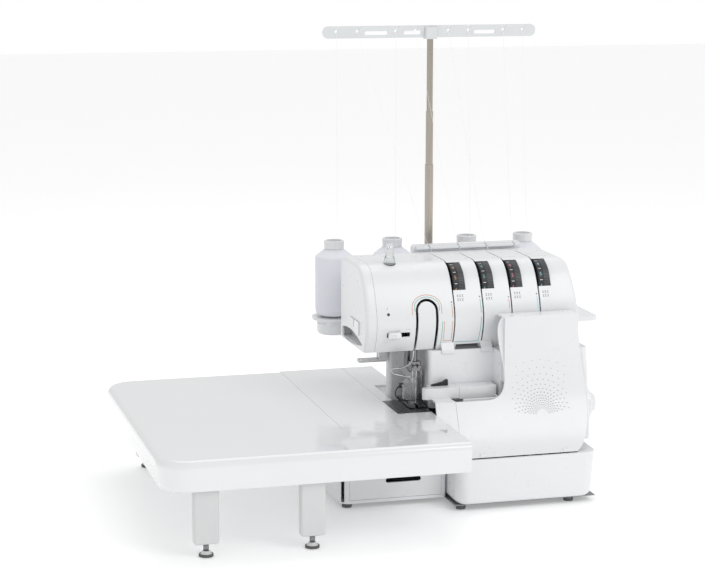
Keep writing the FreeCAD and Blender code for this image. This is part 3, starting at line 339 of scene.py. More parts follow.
# ---- mesh helpers ---------------------------------------------------------------------------------
def new_piece(name, mesh, finish, body, smooth=True):
    """A finished object from a mesh in frame metres."""
    thing = bpy.data.objects.new(name, mesh)
    bpy.context.scene.collection.objects.link(thing)
    if finish:
        mesh.materials.clear()
        mesh.materials.append(MATERIALS[finish])
    for polygon in mesh.polygons:
        polygon.use_smooth = smooth
    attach(thing, body)
    return thing


def mesh_from(bm, name):
    bmesh.ops.recalc_face_normals(bm, faces=bm.faces)
    mesh = bpy.data.meshes.new(name)
    bm.to_mesh(mesh)
    bm.free()
    return mesh


def surface_of(node):
    """A search tree over a CAD node's skin."""
    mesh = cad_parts[node].data
    return BVHTree.FromPolygons([v.co for v in mesh.vertices], [p.vertices[:] for p in mesh.polygons])


def front_point(tree, x, z, lift=0.06):
    """Where a line running back from the front meets the skin, a hair proud of it, in millimetres."""
    start = place(x, -60, z)
    hit, normal, _, _ = tree.ray_cast(start, Vector((0, 1, 0)))
    if hit is None:
        raise RuntimeError(f"no surface at x {x}, z {z}")
    if normal.y > 0:
        normal = -normal
    return hit + normal * lift * MM


def ribbon(bm, tree, points, width):
    """A flat printed line over the skin through 2-D points (x, z)."""
    fine = []
    for (xa, za), (xb, zb) in zip(points, points[1:]):
        steps = max(1, int(math.hypot(xb - xa, zb - za) / 2.0))
        fine += [(xa + (xb - xa) * k / steps, za + (zb - za) * k / steps) for k in range(steps)]
    fine.append(points[-1])
    rows = []
    for k, (x, z) in enumerate(fine):
        before, after = fine[max(0, k - 1)], fine[min(len(fine) - 1, k + 1)]
        along = Vector((after[0] - before[0], after[1] - before[1])).normalized()
        side = Vector((-along.y, along.x)) * width / 2
        rows.append([bm.verts.new(front_point(tree, x + side.x * s, z + side.y * s)) for s in (1, -1)])
    for (a, b), (c, d) in zip(rows, rows[1:]):
        bm.faces.new((a, b, d, c))


def arc_points(x, z, radius_x, radius_z, start, end, steps):
    """Points of an ellipse arc in the front view, angles in degrees."""
    angles = [math.radians(start + (end - start) * k / steps) for k in range(steps + 1)]
    return [(x + radius_x * math.cos(a), z + radius_z * math.sin(a)) for a in angles]


def turned_mesh(bm, profile, x, y, steps=48):
    """A turned solid about the upright line at x, y; profile is (radius, z) in millimetres."""
    rings = []
    for radius, z in profile:
        if radius < 1e-6:
            rings.append([bm.verts.new(place(x, y, z))])
        else:
            rings.append([bm.verts.new(place(x + radius * math.cos(2 * math.pi * k / steps),
                                             y + radius * math.sin(2 * math.pi * k / steps), z))
                          for k in range(steps)])
    for low, high in zip(rings, rings[1:]):
        for k in range(steps):
            j = (k + 1) % steps
            if len(low) == 1:
                bm.faces.new((low[0], high[k], high[j]))
            elif len(high) == 1:
                bm.faces.new((low[k], low[j], high[0]))
            else:
                bm.faces.new((low[k], low[j], high[j], high[k]))


def add_block(bm, x, y, z, radius=0.0):
    """A block between pairs of millimetre limits, with rounded edges where a radius is given."""
    corners = bmesh.ops.create_cube(bm, size=1.0)["verts"]
    for corner in corners:
        corner.co = place(*(low + (high - low) * (share + 0.5)
                            for (low, high), share in zip((x, y, z), corner.co)))
    if radius:
        edges = list({edge for corner in corners for edge in corner.link_edges})
        bmesh.ops.bevel(bm, geom=edges, offset=radius * MM, segments=4, profile=0.5, affect="EDGES")


def add_prism(bm, near, far):
    """A closed prism between two matching outlines of millimetre points."""
    ends = [[bm.verts.new(place(*point)) for point in outline] for outline in (near, far)]
    bm.faces.new(ends[0])
    bm.faces.new(ends[1])
    for k in range(len(near)):
        j = (k + 1) % len(near)
        bm.faces.new((ends[0][k], ends[0][j], ends[1][j], ends[1][k]))


def side_prism(bm, outline, x0, x1):
    """A prism along X; the outline is (y, z)."""
    add_prism(bm, [(x0, y, z) for y, z in outline], [(x1, y, z) for y, z in outline])


def front_prism(bm, outline, y0, y1):
    """A prism along Y; the outline is (x, z)."""
    add_prism(bm, [(x, y0, z) for x, z in outline], [(x, y1, z) for x, z in outline])


def wire(name, points, diameter, finish, body):
    """A bent wire along millimetre points, as a mesh."""
    curve = bpy.data.curves.new(name, "CURVE")
    curve.dimensions = "3D"
    spline = curve.splines.new("NURBS")
    spline.points.add(len(points) - 1)
    for point, target in zip(spline.points, points):
        point.co = (*place(*target), 1.0)
    spline.order_u = 3
    spline.use_endpoint_u = True
    curve.bevel_depth = diameter / 2 * MM
    curve.bevel_resolution = 3
    curve.use_fill_caps = True
    maker = bpy.data.objects.new(name, curve)
    bpy.context.scene.collection.objects.link(maker)
    bpy.context.view_layer.update()
    mesh = bpy.data.meshes.new_from_object(maker.evaluated_get(bpy.context.evaluated_depsgraph_get()))
    bpy.data.objects.remove(maker)
    return new_piece(name, mesh, finish, body)


# ---- Geometry Nodes helpers -----------------------------------------------------------------------
class Tree:
    """A Geometry Nodes tree with named inputs, ending in Realize Instances and Set Material."""

    def __init__(self, name, inputs):
        self.group = bpy.data.node_groups.new(name, "GeometryNodeTree")
        self.group.interface.new_socket("Geometry", in_out="INPUT", socket_type="NodeSocketGeometry")
        for label, kind in inputs:
            self.group.interface.new_socket(label, in_out="INPUT", socket_type=f"NodeSocket{kind}")
        self.group.interface.new_socket("Geometry", in_out="OUTPUT", socket_type="NodeSocketGeometry")
        self.inputs = self.group.nodes.new("NodeGroupInput").outputs
        self.output = self.group.nodes.new("NodeGroupOutput").inputs["Geometry"]

    def add(self, kind, inputs=(), **settings):
        node = self.group.nodes.new(kind)
        for key, value in settings.items():
            setattr(node, key, value)
        for key, value in dict(inputs).items():
            if isinstance(value, bpy.types.NodeSocket):
                self.group.links.new(value, node.inputs[key])
            else:
                node.inputs[key].default_value = value
        return node

    def sum_of(self, operation, *values):
        node = self.add("ShaderNodeMath", operation=operation)
        for socket, value in zip(node.inputs, values):
            if isinstance(value, bpy.types.NodeSocket):
                self.group.links.new(value, socket)
            else:
                socket.default_value = value
        return node.outputs["Value"]

    def vector(self, x, y, z):
        return self.add("ShaderNodeCombineXYZ", {"X": x, "Y": y, "Z": z}).outputs["Vector"]

    def end(self, geometry, finish):
        realized = self.add("GeometryNodeRealizeInstances", {"Geometry": geometry}).outputs["Geometry"]
        coated = self.add("GeometryNodeSetMaterial",
                          {"Geometry": realized, "Material": MATERIALS[finish]}).outputs["Geometry"]
        self.group.links.new(coated, self.output)

    def grow(self, name, source, values, finish, body, slot_name, smooth=True):
        """Runs the tree on a mesh and returns the plain finished piece."""
        maker = bpy.data.objects.new(name + "_maker", source)
        bpy.context.scene.collection.objects.link(maker)
        modifier = maker.modifiers.new("Grow", "NODES")
        modifier.node_group = self.group
        for item in self.group.interface.items_tree:
            if item.in_out == "INPUT" and item.name in values:
                modifier[item.identifier] = values[item.name]
        bpy.context.view_layer.update()
        mesh = bpy.data.meshes.new_from_object(maker.evaluated_get(bpy.context.evaluated_depsgraph_get()))
        maker.modifiers.clear()
        bpy.data.objects.remove(maker)
        if not mesh.polygons:
            raise RuntimeError(f"{name} came out empty")
        mesh.name = name
        return new_piece(name, mesh, finish, body, smooth)


def anchor_mesh(name, points, directions=None):
    """Loose vertices in frame metres, with the direction that each points in."""
    mesh = bpy.data.meshes.new(name)
    mesh.from_pydata([place(*p) for p in points], [], [])
    if directions:
        facing = mesh.attributes.new("facing", "FLOAT_VECTOR", "POINT")
        facing.data.foreach_set("vector", [c for d in directions for c in d])
    return mesh


def screw_tree(finish):
    """Pan head with a cross recess, on each anchor."""
    tree = Tree("screw_heads", [("Head Radius", "Float"), ("Head Height", "Float")])
    radius, height = tree.inputs["Head Radius"], tree.inputs["Head Height"]
    head = tree.add("GeometryNodeMeshCylinder", {"Vertices": 24, "Side Segments": 1, "Fill Segments": 1,
                                                 "Radius": radius, "Depth": height}).outputs["Mesh"]
    bars = tree.add("GeometryNodeJoinGeometry")
    length, width = tree.sum_of("MULTIPLY", radius, 1.15), tree.sum_of("MULTIPLY", radius, 0.24)
    for size in (tree.vector(length, width, height), tree.vector(width, length, height)):
        bar = tree.add("GeometryNodeMeshCube", {"Size": size}).outputs["Mesh"]
        tree.group.links.new(bar, bars.inputs["Geometry"])
    lift = tree.vector(0.0, 0.0, tree.sum_of("MULTIPLY", height, 0.62))
    recess = tree.add("GeometryNodeTransform", {"Geometry": bars.outputs["Geometry"], "Translation": lift})
    cut = tree.add("GeometryNodeMeshBoolean", operation="DIFFERENCE")
    tree.group.links.new(head, cut.inputs["Mesh 1"])
    tree.group.links.new(recess.outputs["Geometry"], cut.inputs["Mesh 2"])
    facing = tree.add("GeometryNodeInputNamedAttribute", {"Name": "facing"}, data_type="FLOAT_VECTOR")
    turn = tree.add("FunctionNodeAlignRotationToVector", {"Vector": facing.outputs["Attribute"]}, axis="Z")
    spots = tree.add("GeometryNodeInstanceOnPoints", {"Points": tree.inputs["Geometry"],
                                                      "Instance": cut.outputs["Mesh"],
                                                      "Rotation": turn.outputs["Rotation"]})
    tree.end(spots.outputs["Instances"], finish)
    return tree


def fan_tree(target, finish):
    """Half rings of dots, each a fixed share wider than the last, laid on the cover's face.

    The dots grow with their ring up to the full size and then fade; those past the side limit are left out.
    """
    first_ring, ring_growth = 0.008, 1.165
    first_angle, sweep = 0.175, 2.79
    side_limit, full_size_at = 0.038, 0.024
    growth_per_metre, fade_per_metre = 51.0, 9.8
    tree = Tree("dot_fan", [("Rings", "Int"), ("Dots", "Int"), ("Centre X", "Float"), ("Centre Z", "Float"),
                            ("Dot Radius", "Float")])
    rings, dots = tree.inputs["Rings"], tree.inputs["Dots"]
    cloud = tree.add("GeometryNodePoints", {"Count": tree.sum_of("MULTIPLY", rings, dots)})
    index = tree.add("GeometryNodeInputIndex").outputs["Index"]
    ring = tree.sum_of("FLOOR", tree.sum_of("DIVIDE", index, dots))
    step = tree.sum_of("SUBTRACT", index, tree.sum_of("MULTIPLY", ring, dots))
    stagger = tree.sum_of("MULTIPLY", tree.sum_of("MODULO", ring, 2.0), 0.5)
    share = tree.sum_of("DIVIDE", tree.sum_of("ADD", step, stagger), tree.sum_of("SUBTRACT", dots, 0.5))
    angle = tree.sum_of("ADD", tree.sum_of("MULTIPLY", share, sweep), first_angle)
    radius = tree.sum_of("MULTIPLY", tree.sum_of("POWER", ring_growth, ring), first_ring)
    x = tree.sum_of("MULTIPLY", radius, tree.sum_of("COSINE", angle))
    z = tree.sum_of("MULTIPLY", radius, tree.sum_of("SINE", angle))
    inside = tree.sum_of("LESS_THAN", tree.sum_of("ABSOLUTE", x), side_limit)
    x = tree.sum_of("ADD", tree.inputs["Centre X"], x)
    z = tree.sum_of("ADD", tree.inputs["Centre Z"], z)
    start = tree.vector(x, -0.4, z)
    skin = tree.add("GeometryNodeObjectInfo", {"Object": target}).outputs["Geometry"]
    ray = tree.add("GeometryNodeRaycast", {"Target Geometry": skin, "Source Position": start,
                                           "Ray Direction": (0.0, 1.0, 0.0), "Ray Length": 1.0})
    lifted = tree.add("ShaderNodeVectorMath", {0: ray.outputs["Hit Position"], 1: (0.0, -0.00005, 0.0)},
                      operation="ADD").outputs["Vector"]
    placed = tree.add("GeometryNodeSetPosition", {"Geometry": cloud.outputs["Geometry"], "Position": lifted})
    near = tree.sum_of("MULTIPLY", radius, growth_per_metre)
    beyond = tree.sum_of("MAXIMUM", tree.sum_of("SUBTRACT", radius, full_size_at), 0.0)
    far = tree.sum_of("SUBTRACT", 1.0, tree.sum_of("MULTIPLY", beyond, fade_per_metre))
    size = tree.sum_of("MINIMUM", near, far)
    disc = tree.add("GeometryNodeMeshCircle", {"Vertices": 10, "Radius": tree.inputs["Dot Radius"]},
                    fill_type="NGON")
    turned = tree.add("GeometryNodeTransform", {"Geometry": disc.outputs["Mesh"],
                                                "Rotation": (math.radians(90), 0.0, 0.0)})
    spots = tree.add("GeometryNodeInstanceOnPoints", {"Points": placed.outputs["Geometry"],
                                                      "Selection": inside,
                                                      "Instance": turned.outputs["Geometry"]})
    tree.group.links.new(size, spots.inputs["Scale"])
    tree.end(spots.outputs["Instances"], finish)
    return tree


def rib_tree(finish):
    """Ribs round a wheel that turns about X."""
    tree = Tree("wheel_ribs", [("Ribs", "Int"), ("Radius", "Float"), ("Width", "Float"), ("Height", "Float"),
                               ("Centre", "Vector")])
    ribs, radius = tree.inputs["Ribs"], tree.inputs["Radius"]
    cloud = tree.add("GeometryNodePoints", {"Count": ribs})
    index = tree.add("GeometryNodeInputIndex").outputs["Index"]
    angle = tree.sum_of("MULTIPLY", tree.sum_of("DIVIDE", index, ribs), 2 * math.pi)
    spot = tree.vector(0.0, tree.sum_of("MULTIPLY", radius, tree.sum_of("COSINE", angle)),
                       tree.sum_of("MULTIPLY", radius, tree.sum_of("SINE", angle)))
    centred = tree.add("ShaderNodeVectorMath", {0: spot, 1: tree.inputs["Centre"]}, operation="ADD")
    placed = tree.add("GeometryNodeSetPosition", {"Geometry": cloud.outputs["Geometry"],
                                                  "Position": centred.outputs["Vector"]})
    height = tree.inputs["Height"]
    size = tree.vector(tree.inputs["Width"], height, tree.sum_of("MULTIPLY", height, 1.6))
    rib = tree.add("GeometryNodeMeshCube", {"Size": size}).outputs["Mesh"]
    turn = tree.vector(angle, 0.0, 0.0)
    spots = tree.add("GeometryNodeInstanceOnPoints", {"Points": placed.outputs["Geometry"], "Instance": rib,
                                                      "Rotation": turn})
    tree.end(spots.outputs["Instances"], finish)
    return tree


# ---- operators ------------------------------------------------------------------------------------
class SergerStage(bpy.types.Operator):
    """Floor, lights and camera"""
    bl_idname = "serger.stage"
    bl_label = "Stage"

    def execute(self, context):
        settings = context.scene.serger_stage
        floor = Finish("stage_floor", settings.floor, 0.5)
        floor.tint(floor.noise(1.5, 2.0), shade(settings.floor, 0.99))
        floor.set("Emission Color", (1.0, 1.0, 1.0, 1.0))
        floor.set("Emission Strength", 0.24)
        bm = bmesh.new()
        ends = [bm.verts.new((x, y, -0.0005)) for x, y in ((-9, -9), (9, -9), (9, 9), (-9, 9))]
        bm.faces.new(ends)
        mesh = mesh_from(bm, "floor")
        mesh.materials.append(floor.material)
        self.link("floor", mesh, context)
        self.lights(context, settings)
        world = bpy.data.worlds.new("studio")
        world.use_nodes = True
        world.node_tree.nodes["Background"].inputs["Color"].default_value = (1.0, 1.0, 1.0, 1.0)
        path = world.node_tree.nodes.new("ShaderNodeLightPath")
        strength = world.node_tree.nodes.new("ShaderNodeMapRange")
        strength.inputs["To Min"].default_value = 0.74
        strength.inputs["To Max"].default_value = 1.0
        world.node_tree.links.new(path.outputs["Is Camera Ray"], strength.inputs["Value"])
        world.node_tree.links.new(strength.outputs["Result"],
                                  world.node_tree.nodes["Background"].inputs["Strength"])
        context.scene.world = world
        context.scene.view_settings.view_transform = "Standard"
        self.camera(context)
        return {"FINISHED"}

    def link(self, name, data, context):
        thing = bpy.data.objects.new(name, data)
        context.scene.collection.objects.link(thing)
        return thing

    def lights(self, context, settings):
        for name, spot, aim, size, share in (
                ("key", (1.3, -1.8, 1.9), (0.0, 0.0, 0.15), 1.3, 0.52),
                ("fill", (-1.9, -1.2, 1.3), (0.0, 0.0, 0.2), 1.8, 0.06),
                ("top", (0.2, 0.9, 2.2), (0.0, 0.0, 0.2), 1.6, 0.34)):
            data = bpy.data.lights.new(name, "AREA")
            data.energy = settings.key_power * share
            data.size = size
            thing = self.link(name, data, context)
            thing.location = spot
            thing.rotation_euler = (Vector(aim) - Vector(spot)).to_track_quat("-Z", "Y").to_euler()

    def camera(self, context):
        lens, down, roll, yaw = 102.64, 10.325, 0.076, 15.323
        data = bpy.data.cameras.new("camera")
        data.sensor_width = 36.0
        data.lens = lens
        data.clip_end = 40.0
        thing = self.link("camera", data, context)
        thing.location = (-0.6998, -2.4077, 0.7215)
        thing.rotation_euler = Euler([math.radians(turn) for turn in (90 - down, -roll, -yaw)])
        context.scene.camera = thing


class SergerThreads(bpy.types.Operator):
    """Four threads from the cones over the guide bar to the head"""
    bl_idname = "serger.threads"
    bl_label = "Threads"

    # Each row: cone, eye into the bar, eye out of it, notch of the rear guide, slot in the head.
    routes = ((7.4, 11.0, 40.0, 121.0, 116.5, 0.6680), (88.3, 92.6, 120.0, 162.0, 155.0, 0.6588),
              (193.7, 194.0, 166.0, 200.0, 193.5, 0.6582), (274.6, 270.5, 243.0, 239.0, 232.0, 0.6558))

    def execute(self, context):
        settings = context.scene.serger_thread
        for number, (cone, eye_in, eye_out, notch, slot_x, length) in enumerate(self.routes, 1):
            points = [(cone, 221.1, 292), (eye_in, 239.6, 578.2), (eye_in, 239.6, 580.5),
                      (eye_in, 244.4, 580.5),
                      (eye_out, 244.4, 580.5), (eye_out, 239.6, 580.5), (eye_out, 239.2, 578.2),
                      (notch, 184, 302.2), (notch, 169, 299.6), (slot_x, 146, 296.7), (slot_x, 139, 291.5)]
            self.thread(f"thread_line_{number}", f"thread_{number}", points, length, settings.diameter)
        return {"FINISHED"}

    def thread(self, name, node, points, length, diameter):
        route = bpy.data.curves.new(name, "CURVE")
        route.dimensions = "3D"
        spline = route.splines.new("NURBS")
        spline.points.add(len(points) - 1)
        for point, target in zip(spline.points, points):
            point.co = (*place(*target), 1.0)
        spline.order_u = 3
        spline.use_endpoint_u = True
        spline.resolution_u = 8
        maker = bpy.data.objects.new(name, route)
        bpy.context.scene.collection.objects.link(maker)
        bpy.context.view_layer.update()
        graph = bpy.context.evaluated_depsgraph_get()
        line = bpy.data.meshes.new_from_object(maker.evaluated_get(graph))
        route.bevel_depth = diameter / 2
        route.bevel_resolution = 1
        route.use_fill_caps = True
        bpy.context.view_layer.update()
        mesh = bpy.data.meshes.new_from_object(maker.evaluated_get(bpy.context.evaluated_depsgraph_get()))
        bpy.data.objects.remove(maker)
        piece = new_piece(name, mesh, "thread", "machine")
        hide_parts(node)
        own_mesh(piece)


class SergerShell(bpy.types.Operator):
    """Moulded covers, base, stand and drawer"""
    bl_idname = "serger.shell"
    bl_label = "Shell"
    finishes = {
        "head_cover": "shell", "left_end_cover": "shell", "rear_cover": "shell", "front_cover": "shell",
        "looper_guard": "shell", "base_tray": "shell", "left_base": "shell", "take_up_plate": "shell",
        "spool_stand": "shell", "accessory_drawer": "drawer", "threader_slider": "knob",
        "thread_cutter": "knob", "pressure_knob": "clear", "handwheel": "knob", "presser_lifter": "lever",
        "rear_thread_guide": "knob", "guide_bar": "bar", "cone_cores": "core", "machine_feet": "rubber",
        "bottom_plate": "zinc", "power_inlet": "black", "power_switch": "black",
    }

    def execute(self, context):
        for node, finish in self.finishes.items():
            coat_node(node, finish)
        return {"FINISHED"}


class SergerMechanism(bpy.types.Operator):
    """Frame, drive, needles, loopers, knives and mast"""
    bl_idname = "serger.mechanism"
    bl_label = "Mechanism"
    finishes = {
        "frame_casting": "casting", "main_shaft": "steel", "motor": "motor", "motor_pulley": "steel",
        # The needle and presser bars, clamp, foot and loopers take the chrome with painted dark reflection.
        "drive_belt": "belt", "needle_plate": "plate", "needle_bar": "chrome_painted_dark_reflection",
        "needle_clamp": "chrome_painted_dark_reflection", "needles": "chrome", "presser_bar": "chrome_painted_dark_reflection",
        "presser_foot": "chrome_painted_dark_reflection", "upper_knife": "steel",
        "lower_knife": "steel", "upper_looper": "chrome_painted_dark_reflection", "lower_looper": "chrome_painted_dark_reflection",
        "feed_dogs": "steel", "tension_shafts": "steel", "mast_lower": "mast", "mast_middle": "mast",
        "mast_upper": "mast", "screws": "steel",
    }

    def execute(self, context):
        for node, finish in self.finishes.items():
            coat_node(node, finish)
        return {"FINISHED"}


class SergerTable(bpy.types.Operator):
    """Extension table and its legs"""
    bl_idname = "serger.table"
    bl_label = "Table"

    def execute(self, context):
        for node in ("extension_table", "table_insert", "bed_strip"):
            coat_node(node, "table")
        coat_node("leg_brackets", "grey")
        for number in range(1, 5):
            coat_node(f"table_leg_{number}", "legs")
        return {"FINISHED"}


class SergerCones(bpy.types.Operator):
    """Wound thread on the cones"""
    bl_idname = "serger.cones"
    bl_label = "Cones"

    def execute(self, context):
        coat_node("thread_windings", "winding")
        return {"FINISHED"}


class SergerDials(bpy.types.Operator):
    """Tension dials with their numbers, marks and knurls"""
    bl_idname = "serger.dials"
    bl_label = "Dials"
    inks = ("ink_orange", "ink_teal", "ink_pink", "ink_blue")

    def execute(self, context):
        ribs = rib_tree("dial_rim")
        y, z = DIAL_AXIS
        for number, (x, ink) in enumerate(zip(DIAL_X, self.inks), 1):
            node, body = f"tension_dial_{number}", f"dial_{number}"
            coat_node(node, "dial")
            ribs.grow(f"dial_knurls_{number}", anchor_mesh(f"dial_seat_{number}", [(0, 0, 0)]),
                      {"Ribs": 96, "Radius": (DIAL_RADIUS + 0.05) * MM, "Width": 0.0074, "Height": 0.0007,
                       "Centre": place(x + 3.3, y, z)}, "dial_rim", body, "dial_black", smooth=False)
            self.numbers(f"dial_numbers_{number}", x, ink, body)
            self.marks(f"dial_marks_{number}", x, body)
        return {"FINISHED"}

    def wrapped(self, vertices, angle, x, lift):
        """Bends a flat shape (x, height) in millimetres round the dial at an angle above the front."""
        y, z = DIAL_AXIS
        for vertex in vertices:
            turn = angle + vertex.co.y / DIAL_RADIUS
            radius = DIAL_RADIUS + lift
            vertex.co = place(x + vertex.co.x, y - radius * math.cos(turn), z + radius * math.sin(turn))

    def numbers(self, name, x, ink, body):
        bm = bmesh.new()
        for value in range(1, 10):
            curve = bpy.data.curves.new(name, "FONT")
            curve.body = str(value)
            curve.size = 6.4
            curve.align_x = "CENTER"
            curve.align_y = "CENTER"
            curve.resolution_u = 3
            maker = bpy.data.objects.new(name, curve)
            bpy.context.scene.collection.objects.link(maker)
            bpy.context.view_layer.update()
            graph = bpy.context.evaluated_depsgraph_get()
            flat = bpy.data.meshes.new_from_object(maker.evaluated_get(graph))
            bpy.data.objects.remove(maker)
            start = len(bm.verts)
            bm.from_mesh(flat)
            bm.verts.ensure_lookup_table()
            self.wrapped(bm.verts[start:], math.radians(30 + (5 - value) * 30), x - 4.2, 0.06)
        mesh = bpy.data.meshes.new(name)
        bm.to_mesh(mesh)
        bm.free()
        new_piece(name, mesh, ink, body, smooth=False)

    def marks(self, name, x, body):
        """A dash half-way between each pair of numbers."""
        bm = bmesh.new()
        for step in range(8):
            angle = math.radians(30 + (3.5 - step) * 30)
            corners = [bm.verts.new((a, b, 0)) for a, b in ((-1.9, -0.35), (1.9, -0.35), (1.9, 0.35),
                                                           (-1.9, 0.35))]
            bm.faces.new(corners)
            self.wrapped(corners, angle, x - 4.2, 0.06)
        mesh = bpy.data.meshes.new(name)
        bm.to_mesh(mesh)
        bm.free()
        new_piece(name, mesh, "ink_white", body, smooth=False)


class SergerPrint(bpy.types.Operator):
    """Coloured thread paths, marks and the cover's dots"""
    bl_idname = "serger.print"
    bl_label = "Printed marks"

    def execute(self, context):
        head = surface_of("head_cover")
        lines = {
            "path_orange": ("ink_orange", [
                [(60.6, 236), (60.6, 245)] + arc_points(80, 245, 19.4, 14.5, 180, 0, 14)[1:] + [(99.4, 236)],
                [(102.8, 226), (102.8, 199.5), (113.6, 199.5), (113.6, 226)], [(113.6, 230), (113.2, 247)]]),
            "path_teal": ("ink_teal", [
                [(64.0, 240), (64.0, 245)] + arc_points(80, 245, 16.6, 12.0, 180, 0, 14)[1:] + [(96.6, 240)],
                [(100.2, 226), (100.2, 196.5), (115.0, 196.5)],
                [(119.0, 197.0), (150.6, 197.0), (152.0, 230)],
                [(152.0, 235), (151.6, 252)]]),
            "path_pink": ("ink_pink", [[(190.6, 238), (190.2, 250)]]),
            "path_blue": ("ink_blue", [[(229.2, 236), (228.6, 252)]]),
        }
        for name, (ink, runs) in lines.items():
            bm = bmesh.new()
            for run in runs:
                ribbon(bm, head, run, 0.75)
            self.flat(name, bm, ink)
        self.flat("dots_dark", self.spots(head, [(40.5, 216.6, 0.5), (43.5, 216.8, 0.5),
                                                 (53, 217.6, 0.5), (56, 218, 0.5), (113.2, 249.5, 0.9),
                                                 (151.6, 254.5, 0.9), (190.2, 252.5, 0.8),
                                                 (228.6, 254.5, 0.9)]), "ink_grey")
        self.flat("dot_black", self.spots(head, [(29, 238, 1.9)]), "ink_black")
        bm = bmesh.new()
        ribbon(bm, head, [(28, 244), (28, 246.6)], 0.5)
        for x in DIAL_X:
            for column in range(3):
                for row in range(2):
                    left, low = x - 4.6 + column * 3.2, 250.2 + row * 4.6
                    ribbon(bm, head, [(left, low), (left + 1.7, low + 3.2)], 0.45)
                    ribbon(bm, head, [(left + 1.7, low), (left, low + 3.2)], 0.45)
        self.flat("small_marks", bm, "ink_grey")
        fan = fan_tree(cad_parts["front_cover"], "dot_ink")
        settings = context.scene.serger_print
        centre = place(218, 0, 108.7)
        fan.grow("cover_dots", anchor_mesh("fan_seat", [(0, 0, 0)]),
                 {"Rings": settings.dot_rings, "Dots": 17, "Centre X": centre.x, "Centre Z": centre.z,
                  "Dot Radius": settings.dot / 2}, "dot_ink", "cover", "shell_white", smooth=False)
        return {"FINISHED"}

    def flat(self, name, bm, ink):
        mesh = bpy.data.meshes.new(name)
        bm.to_mesh(mesh)
        bm.free()
        new_piece(name, mesh, ink, "machine", smooth=False)

    def spots(self, tree, places):
        bm = bmesh.new()
        for x, z, radius in places:
            rim = [bm.verts.new(front_point(tree, x + radius * math.cos(a), z + radius * math.sin(a)))
                   for a in (2 * math.pi * k / 20 for k in range(20))]
            bm.faces.new(rim)
        return bm


class SergerHeadTrim(bpy.types.Operator):
    """Lips under the head, a grey strip of painted shade under the head's overhang, the slider's grip, a
    black plate of painted shade in the cutter's slit and the back's screws
    """
    bl_idname = "serger.head_trim"
    bl_label = "Head trim"
    lip = ((57.6, 197), (55.2, 193), (52.6, 188.5), (51.6, 184), (52.8, 183.2), (53.7, 184.5), (53.7, 188),
           (56.5, 190), (60, 192.5))
    # Outline of a dark grey wedge under the head's front edge: painted shade where the head overhangs the
    # column.
    trough = ((57, 187.9), (62, 189), (66, 191.5), (68, 193.4), (70, 193.4), (70, 187.9))
    rear_screws = ((70, 100), (70, 170), (280, 100), (280, 170))

    def execute(self, context):
        bm = bmesh.new()
        side_prism(bm, self.lip, 100.5, 117)
        side_prism(bm, self.lip, 153, 168)
        new_piece("head_lips", mesh_from(bm, "head_lips"), "shell", "machine", smooth=False)
        # Dark grey strip between the lips: painted shade under the head's overhang.
        bm = bmesh.new()
        side_prism(bm, self.trough, 121.3, 151.7)
        new_piece("trough_strip", mesh_from(bm, "trough_strip"), "grey", "machine",
                  smooth=False)
        # Black plate at the bottom of the cutter's slit: painted shade inside the slit.
        bm = bmesh.new()
        side_prism(bm, ((103.4, 214.4), (105.8, 214.4), (109.6, 229.6), (107.2, 229.6)), 0.2, 0.7)
        new_piece("cutter_slit", mesh_from(bm, "cutter_slit"), "black", "machine",
                  smooth=False)
        bm = bmesh.new()
        front_prism(bm, ((84, 143.8), (84, 146), (92, 147.6), (99, 149.2), (103.4, 152), (105.4, 152),
                         (106, 150.4), (106, 143.8)), 44, 47)
        new_piece("ledge_guide", mesh_from(bm, "ledge_guide"), "black", "machine",
                  smooth=False)
        bm = bmesh.new()
        add_block(bm, (28, 45), (44.4, 51), (206.5, 215.5), 2.9)
        for x in (33, 35.4, 37.8):
            add_block(bm, (x - 0.5, x + 0.5), (43.7, 46), (208.4, 213.6), 0.4)
        add_block(bm, (30, 42), (49, 60), (208.8, 213.2))
        grip = new_piece("slider_grip", mesh_from(bm, "slider_grip"), "knob", "threader")
        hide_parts("threader_slider")
        heads = screw_tree("steel").grow(
            "rear_screws", anchor_mesh("rear_screw_seats", [(x, 178.6, z) for x, z in self.rear_screws],
                                       [(0, 1, 0)] * len(self.rear_screws)),
            {"Head Radius": 0.0031, "Head Height": 0.0018}, "steel", "machine", "steel", smooth=False)
        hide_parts("screws")
        return {"FINISHED"}


class SergerNeedleWorks(bpy.types.Operator):
    """Thread hooks, foot spring and the clear shank by the needles"""
    bl_idname = "serger.needle_works"
    bl_label = "Needle works"

    def execute(self, context):
        bm = bmesh.new()
        front_prism(bm, ((56, 120.8), (67, 120.8), (67, 150), (64, 154), (53, 154), (50, 151), (50, 128),
                         (56, 125)), 55, 59)
        new_piece("clear_shank", mesh_from(bm, "clear_shank"), "clear", "presser",
                  smooth=False)
        bm = bmesh.new()
        front_prism(bm, ((40, 173), (42, 190), (50, 190), (48, 172), (60, 160), (58, 155), (52, 158)),
                    51, 52)
        # The hook plate takes the chrome with painted dark reflection.
        new_piece("hook_plate", mesh_from(bm, "hook_plate"), "chrome_painted_dark_reflection", "machine",
                  smooth=False)
        wire("hook_wire", [(62, 51, 190), (62, 51, 180), (56, 50, 172), (44, 50, 168), (30, 50, 168.5),
                           (36, 50, 161), (46, 50, 159), (54, 51, 156), (58, 51.5, 156)], 1.5, "chrome",
             "machine")
        wire("foot_spring", [(51, 57, 147), (44.5, 56, 145.4), (38.8, 56, 135.4), (41.7, 56, 128.7),
                             (49.3, 56, 124.5), (57.5, 57, 124.5)], 1.6, "black", "presser")
        return {"FINISHED"}


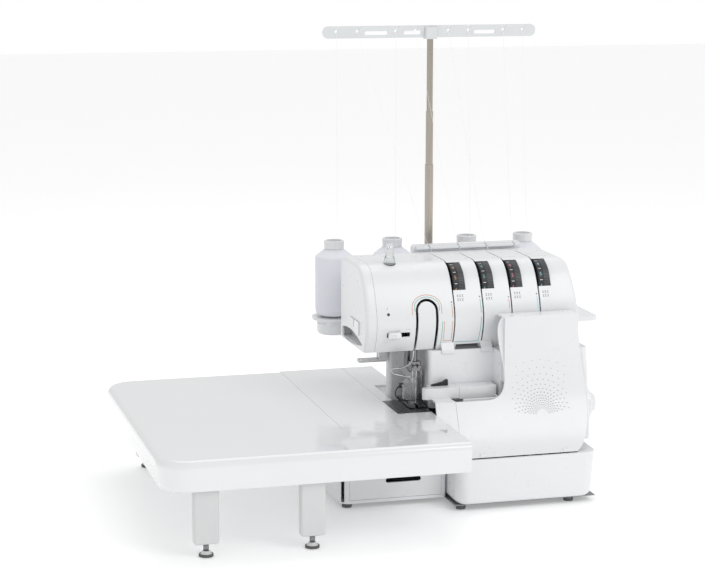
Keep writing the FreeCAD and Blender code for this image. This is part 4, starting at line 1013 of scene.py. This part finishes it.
class SergerLevellers(bpy.types.Operator):
    """Rubber pads and steel studs of the table legs"""
    bl_idname = "serger.levellers"
    bl_label = "Levelling feet"
    places = ((-242, -125), (-115, -125), (-242, 280), (-115, 280))
    pad = ((7.7, 0.05), (8.6, 0.05), (8.6, 2.8), (7.7, 3.4), (7.7, 0.05))
    stud = ((2.9, 6.4), (3.3, 6.4), (3.3, 15.2), (2.9, 15.2), (2.9, 6.4))

    def execute(self, context):
        for number, (x, y) in enumerate(self.places, 1):
            for name, profile, finish, slot_name in (("pad", self.pad, "rubber", "foot_rubber"),
                                                     ("stud", self.stud, "zinc", "steel")):
                bm = bmesh.new()
                turned_mesh(bm, profile, x, y, 32)
                bmesh.ops.remove_doubles(bm, verts=bm.verts, dist=1e-6)
                title = f"leg_{name}_{number}"
                new_piece(title, mesh_from(bm, title), finish, f"leg_{number}")
        return {"FINISHED"}


class SergerPanel(bpy.types.Panel):
    """Lists the pieces that the add-on makes"""
    bl_idname = "VIEW3D_PT_serger"
    bl_label = "Overlock machine"
    bl_space_type = "VIEW_3D"
    bl_region_type = "UI"
    bl_category = "Overlock"

    def draw(self, context):
        for settings in ("serger_shell", "serger_metal", "serger_thread", "serger_print", "serger_stage"):
            group = getattr(context.scene, settings)
            for key in group.__annotations__:
                self.layout.prop(group, key)
        for operator in OPERATORS:
            self.layout.operator(operator.bl_idname)


SETTINGS = {"serger_shell": SergerShellSettings, "serger_metal": SergerMetalSettings,
            "serger_thread": SergerThreadSettings, "serger_print": SergerPrintSettings,
            "serger_stage": SergerStageSettings}
OPERATORS = (SergerStage, SergerThreads, SergerShell, SergerMechanism, SergerTable, SergerCones,
             SergerDials, SergerPrint, SergerHeadTrim, SergerNeedleWorks, SergerLevellers)


def register():
    for name, group in SETTINGS.items():
        bpy.utils.register_class(group)
        setattr(bpy.types.Scene, name, PointerProperty(type=group))
    for kind in (*OPERATORS, SergerPanel):
        bpy.utils.register_class(kind)


def unregister():
    for kind in (*OPERATORS, SergerPanel):
        bpy.utils.unregister_class(kind)
    for name, group in SETTINGS.items():
        delattr(bpy.types.Scene, name)
        bpy.utils.unregister_class(group)


def main():
    register()
    make_materials(bpy.context)
    for operator in OPERATORS:
        area, name = operator.bl_idname.split(".")
        getattr(getattr(bpy.ops, area), name)()


if __name__ == "__main__":
    main()
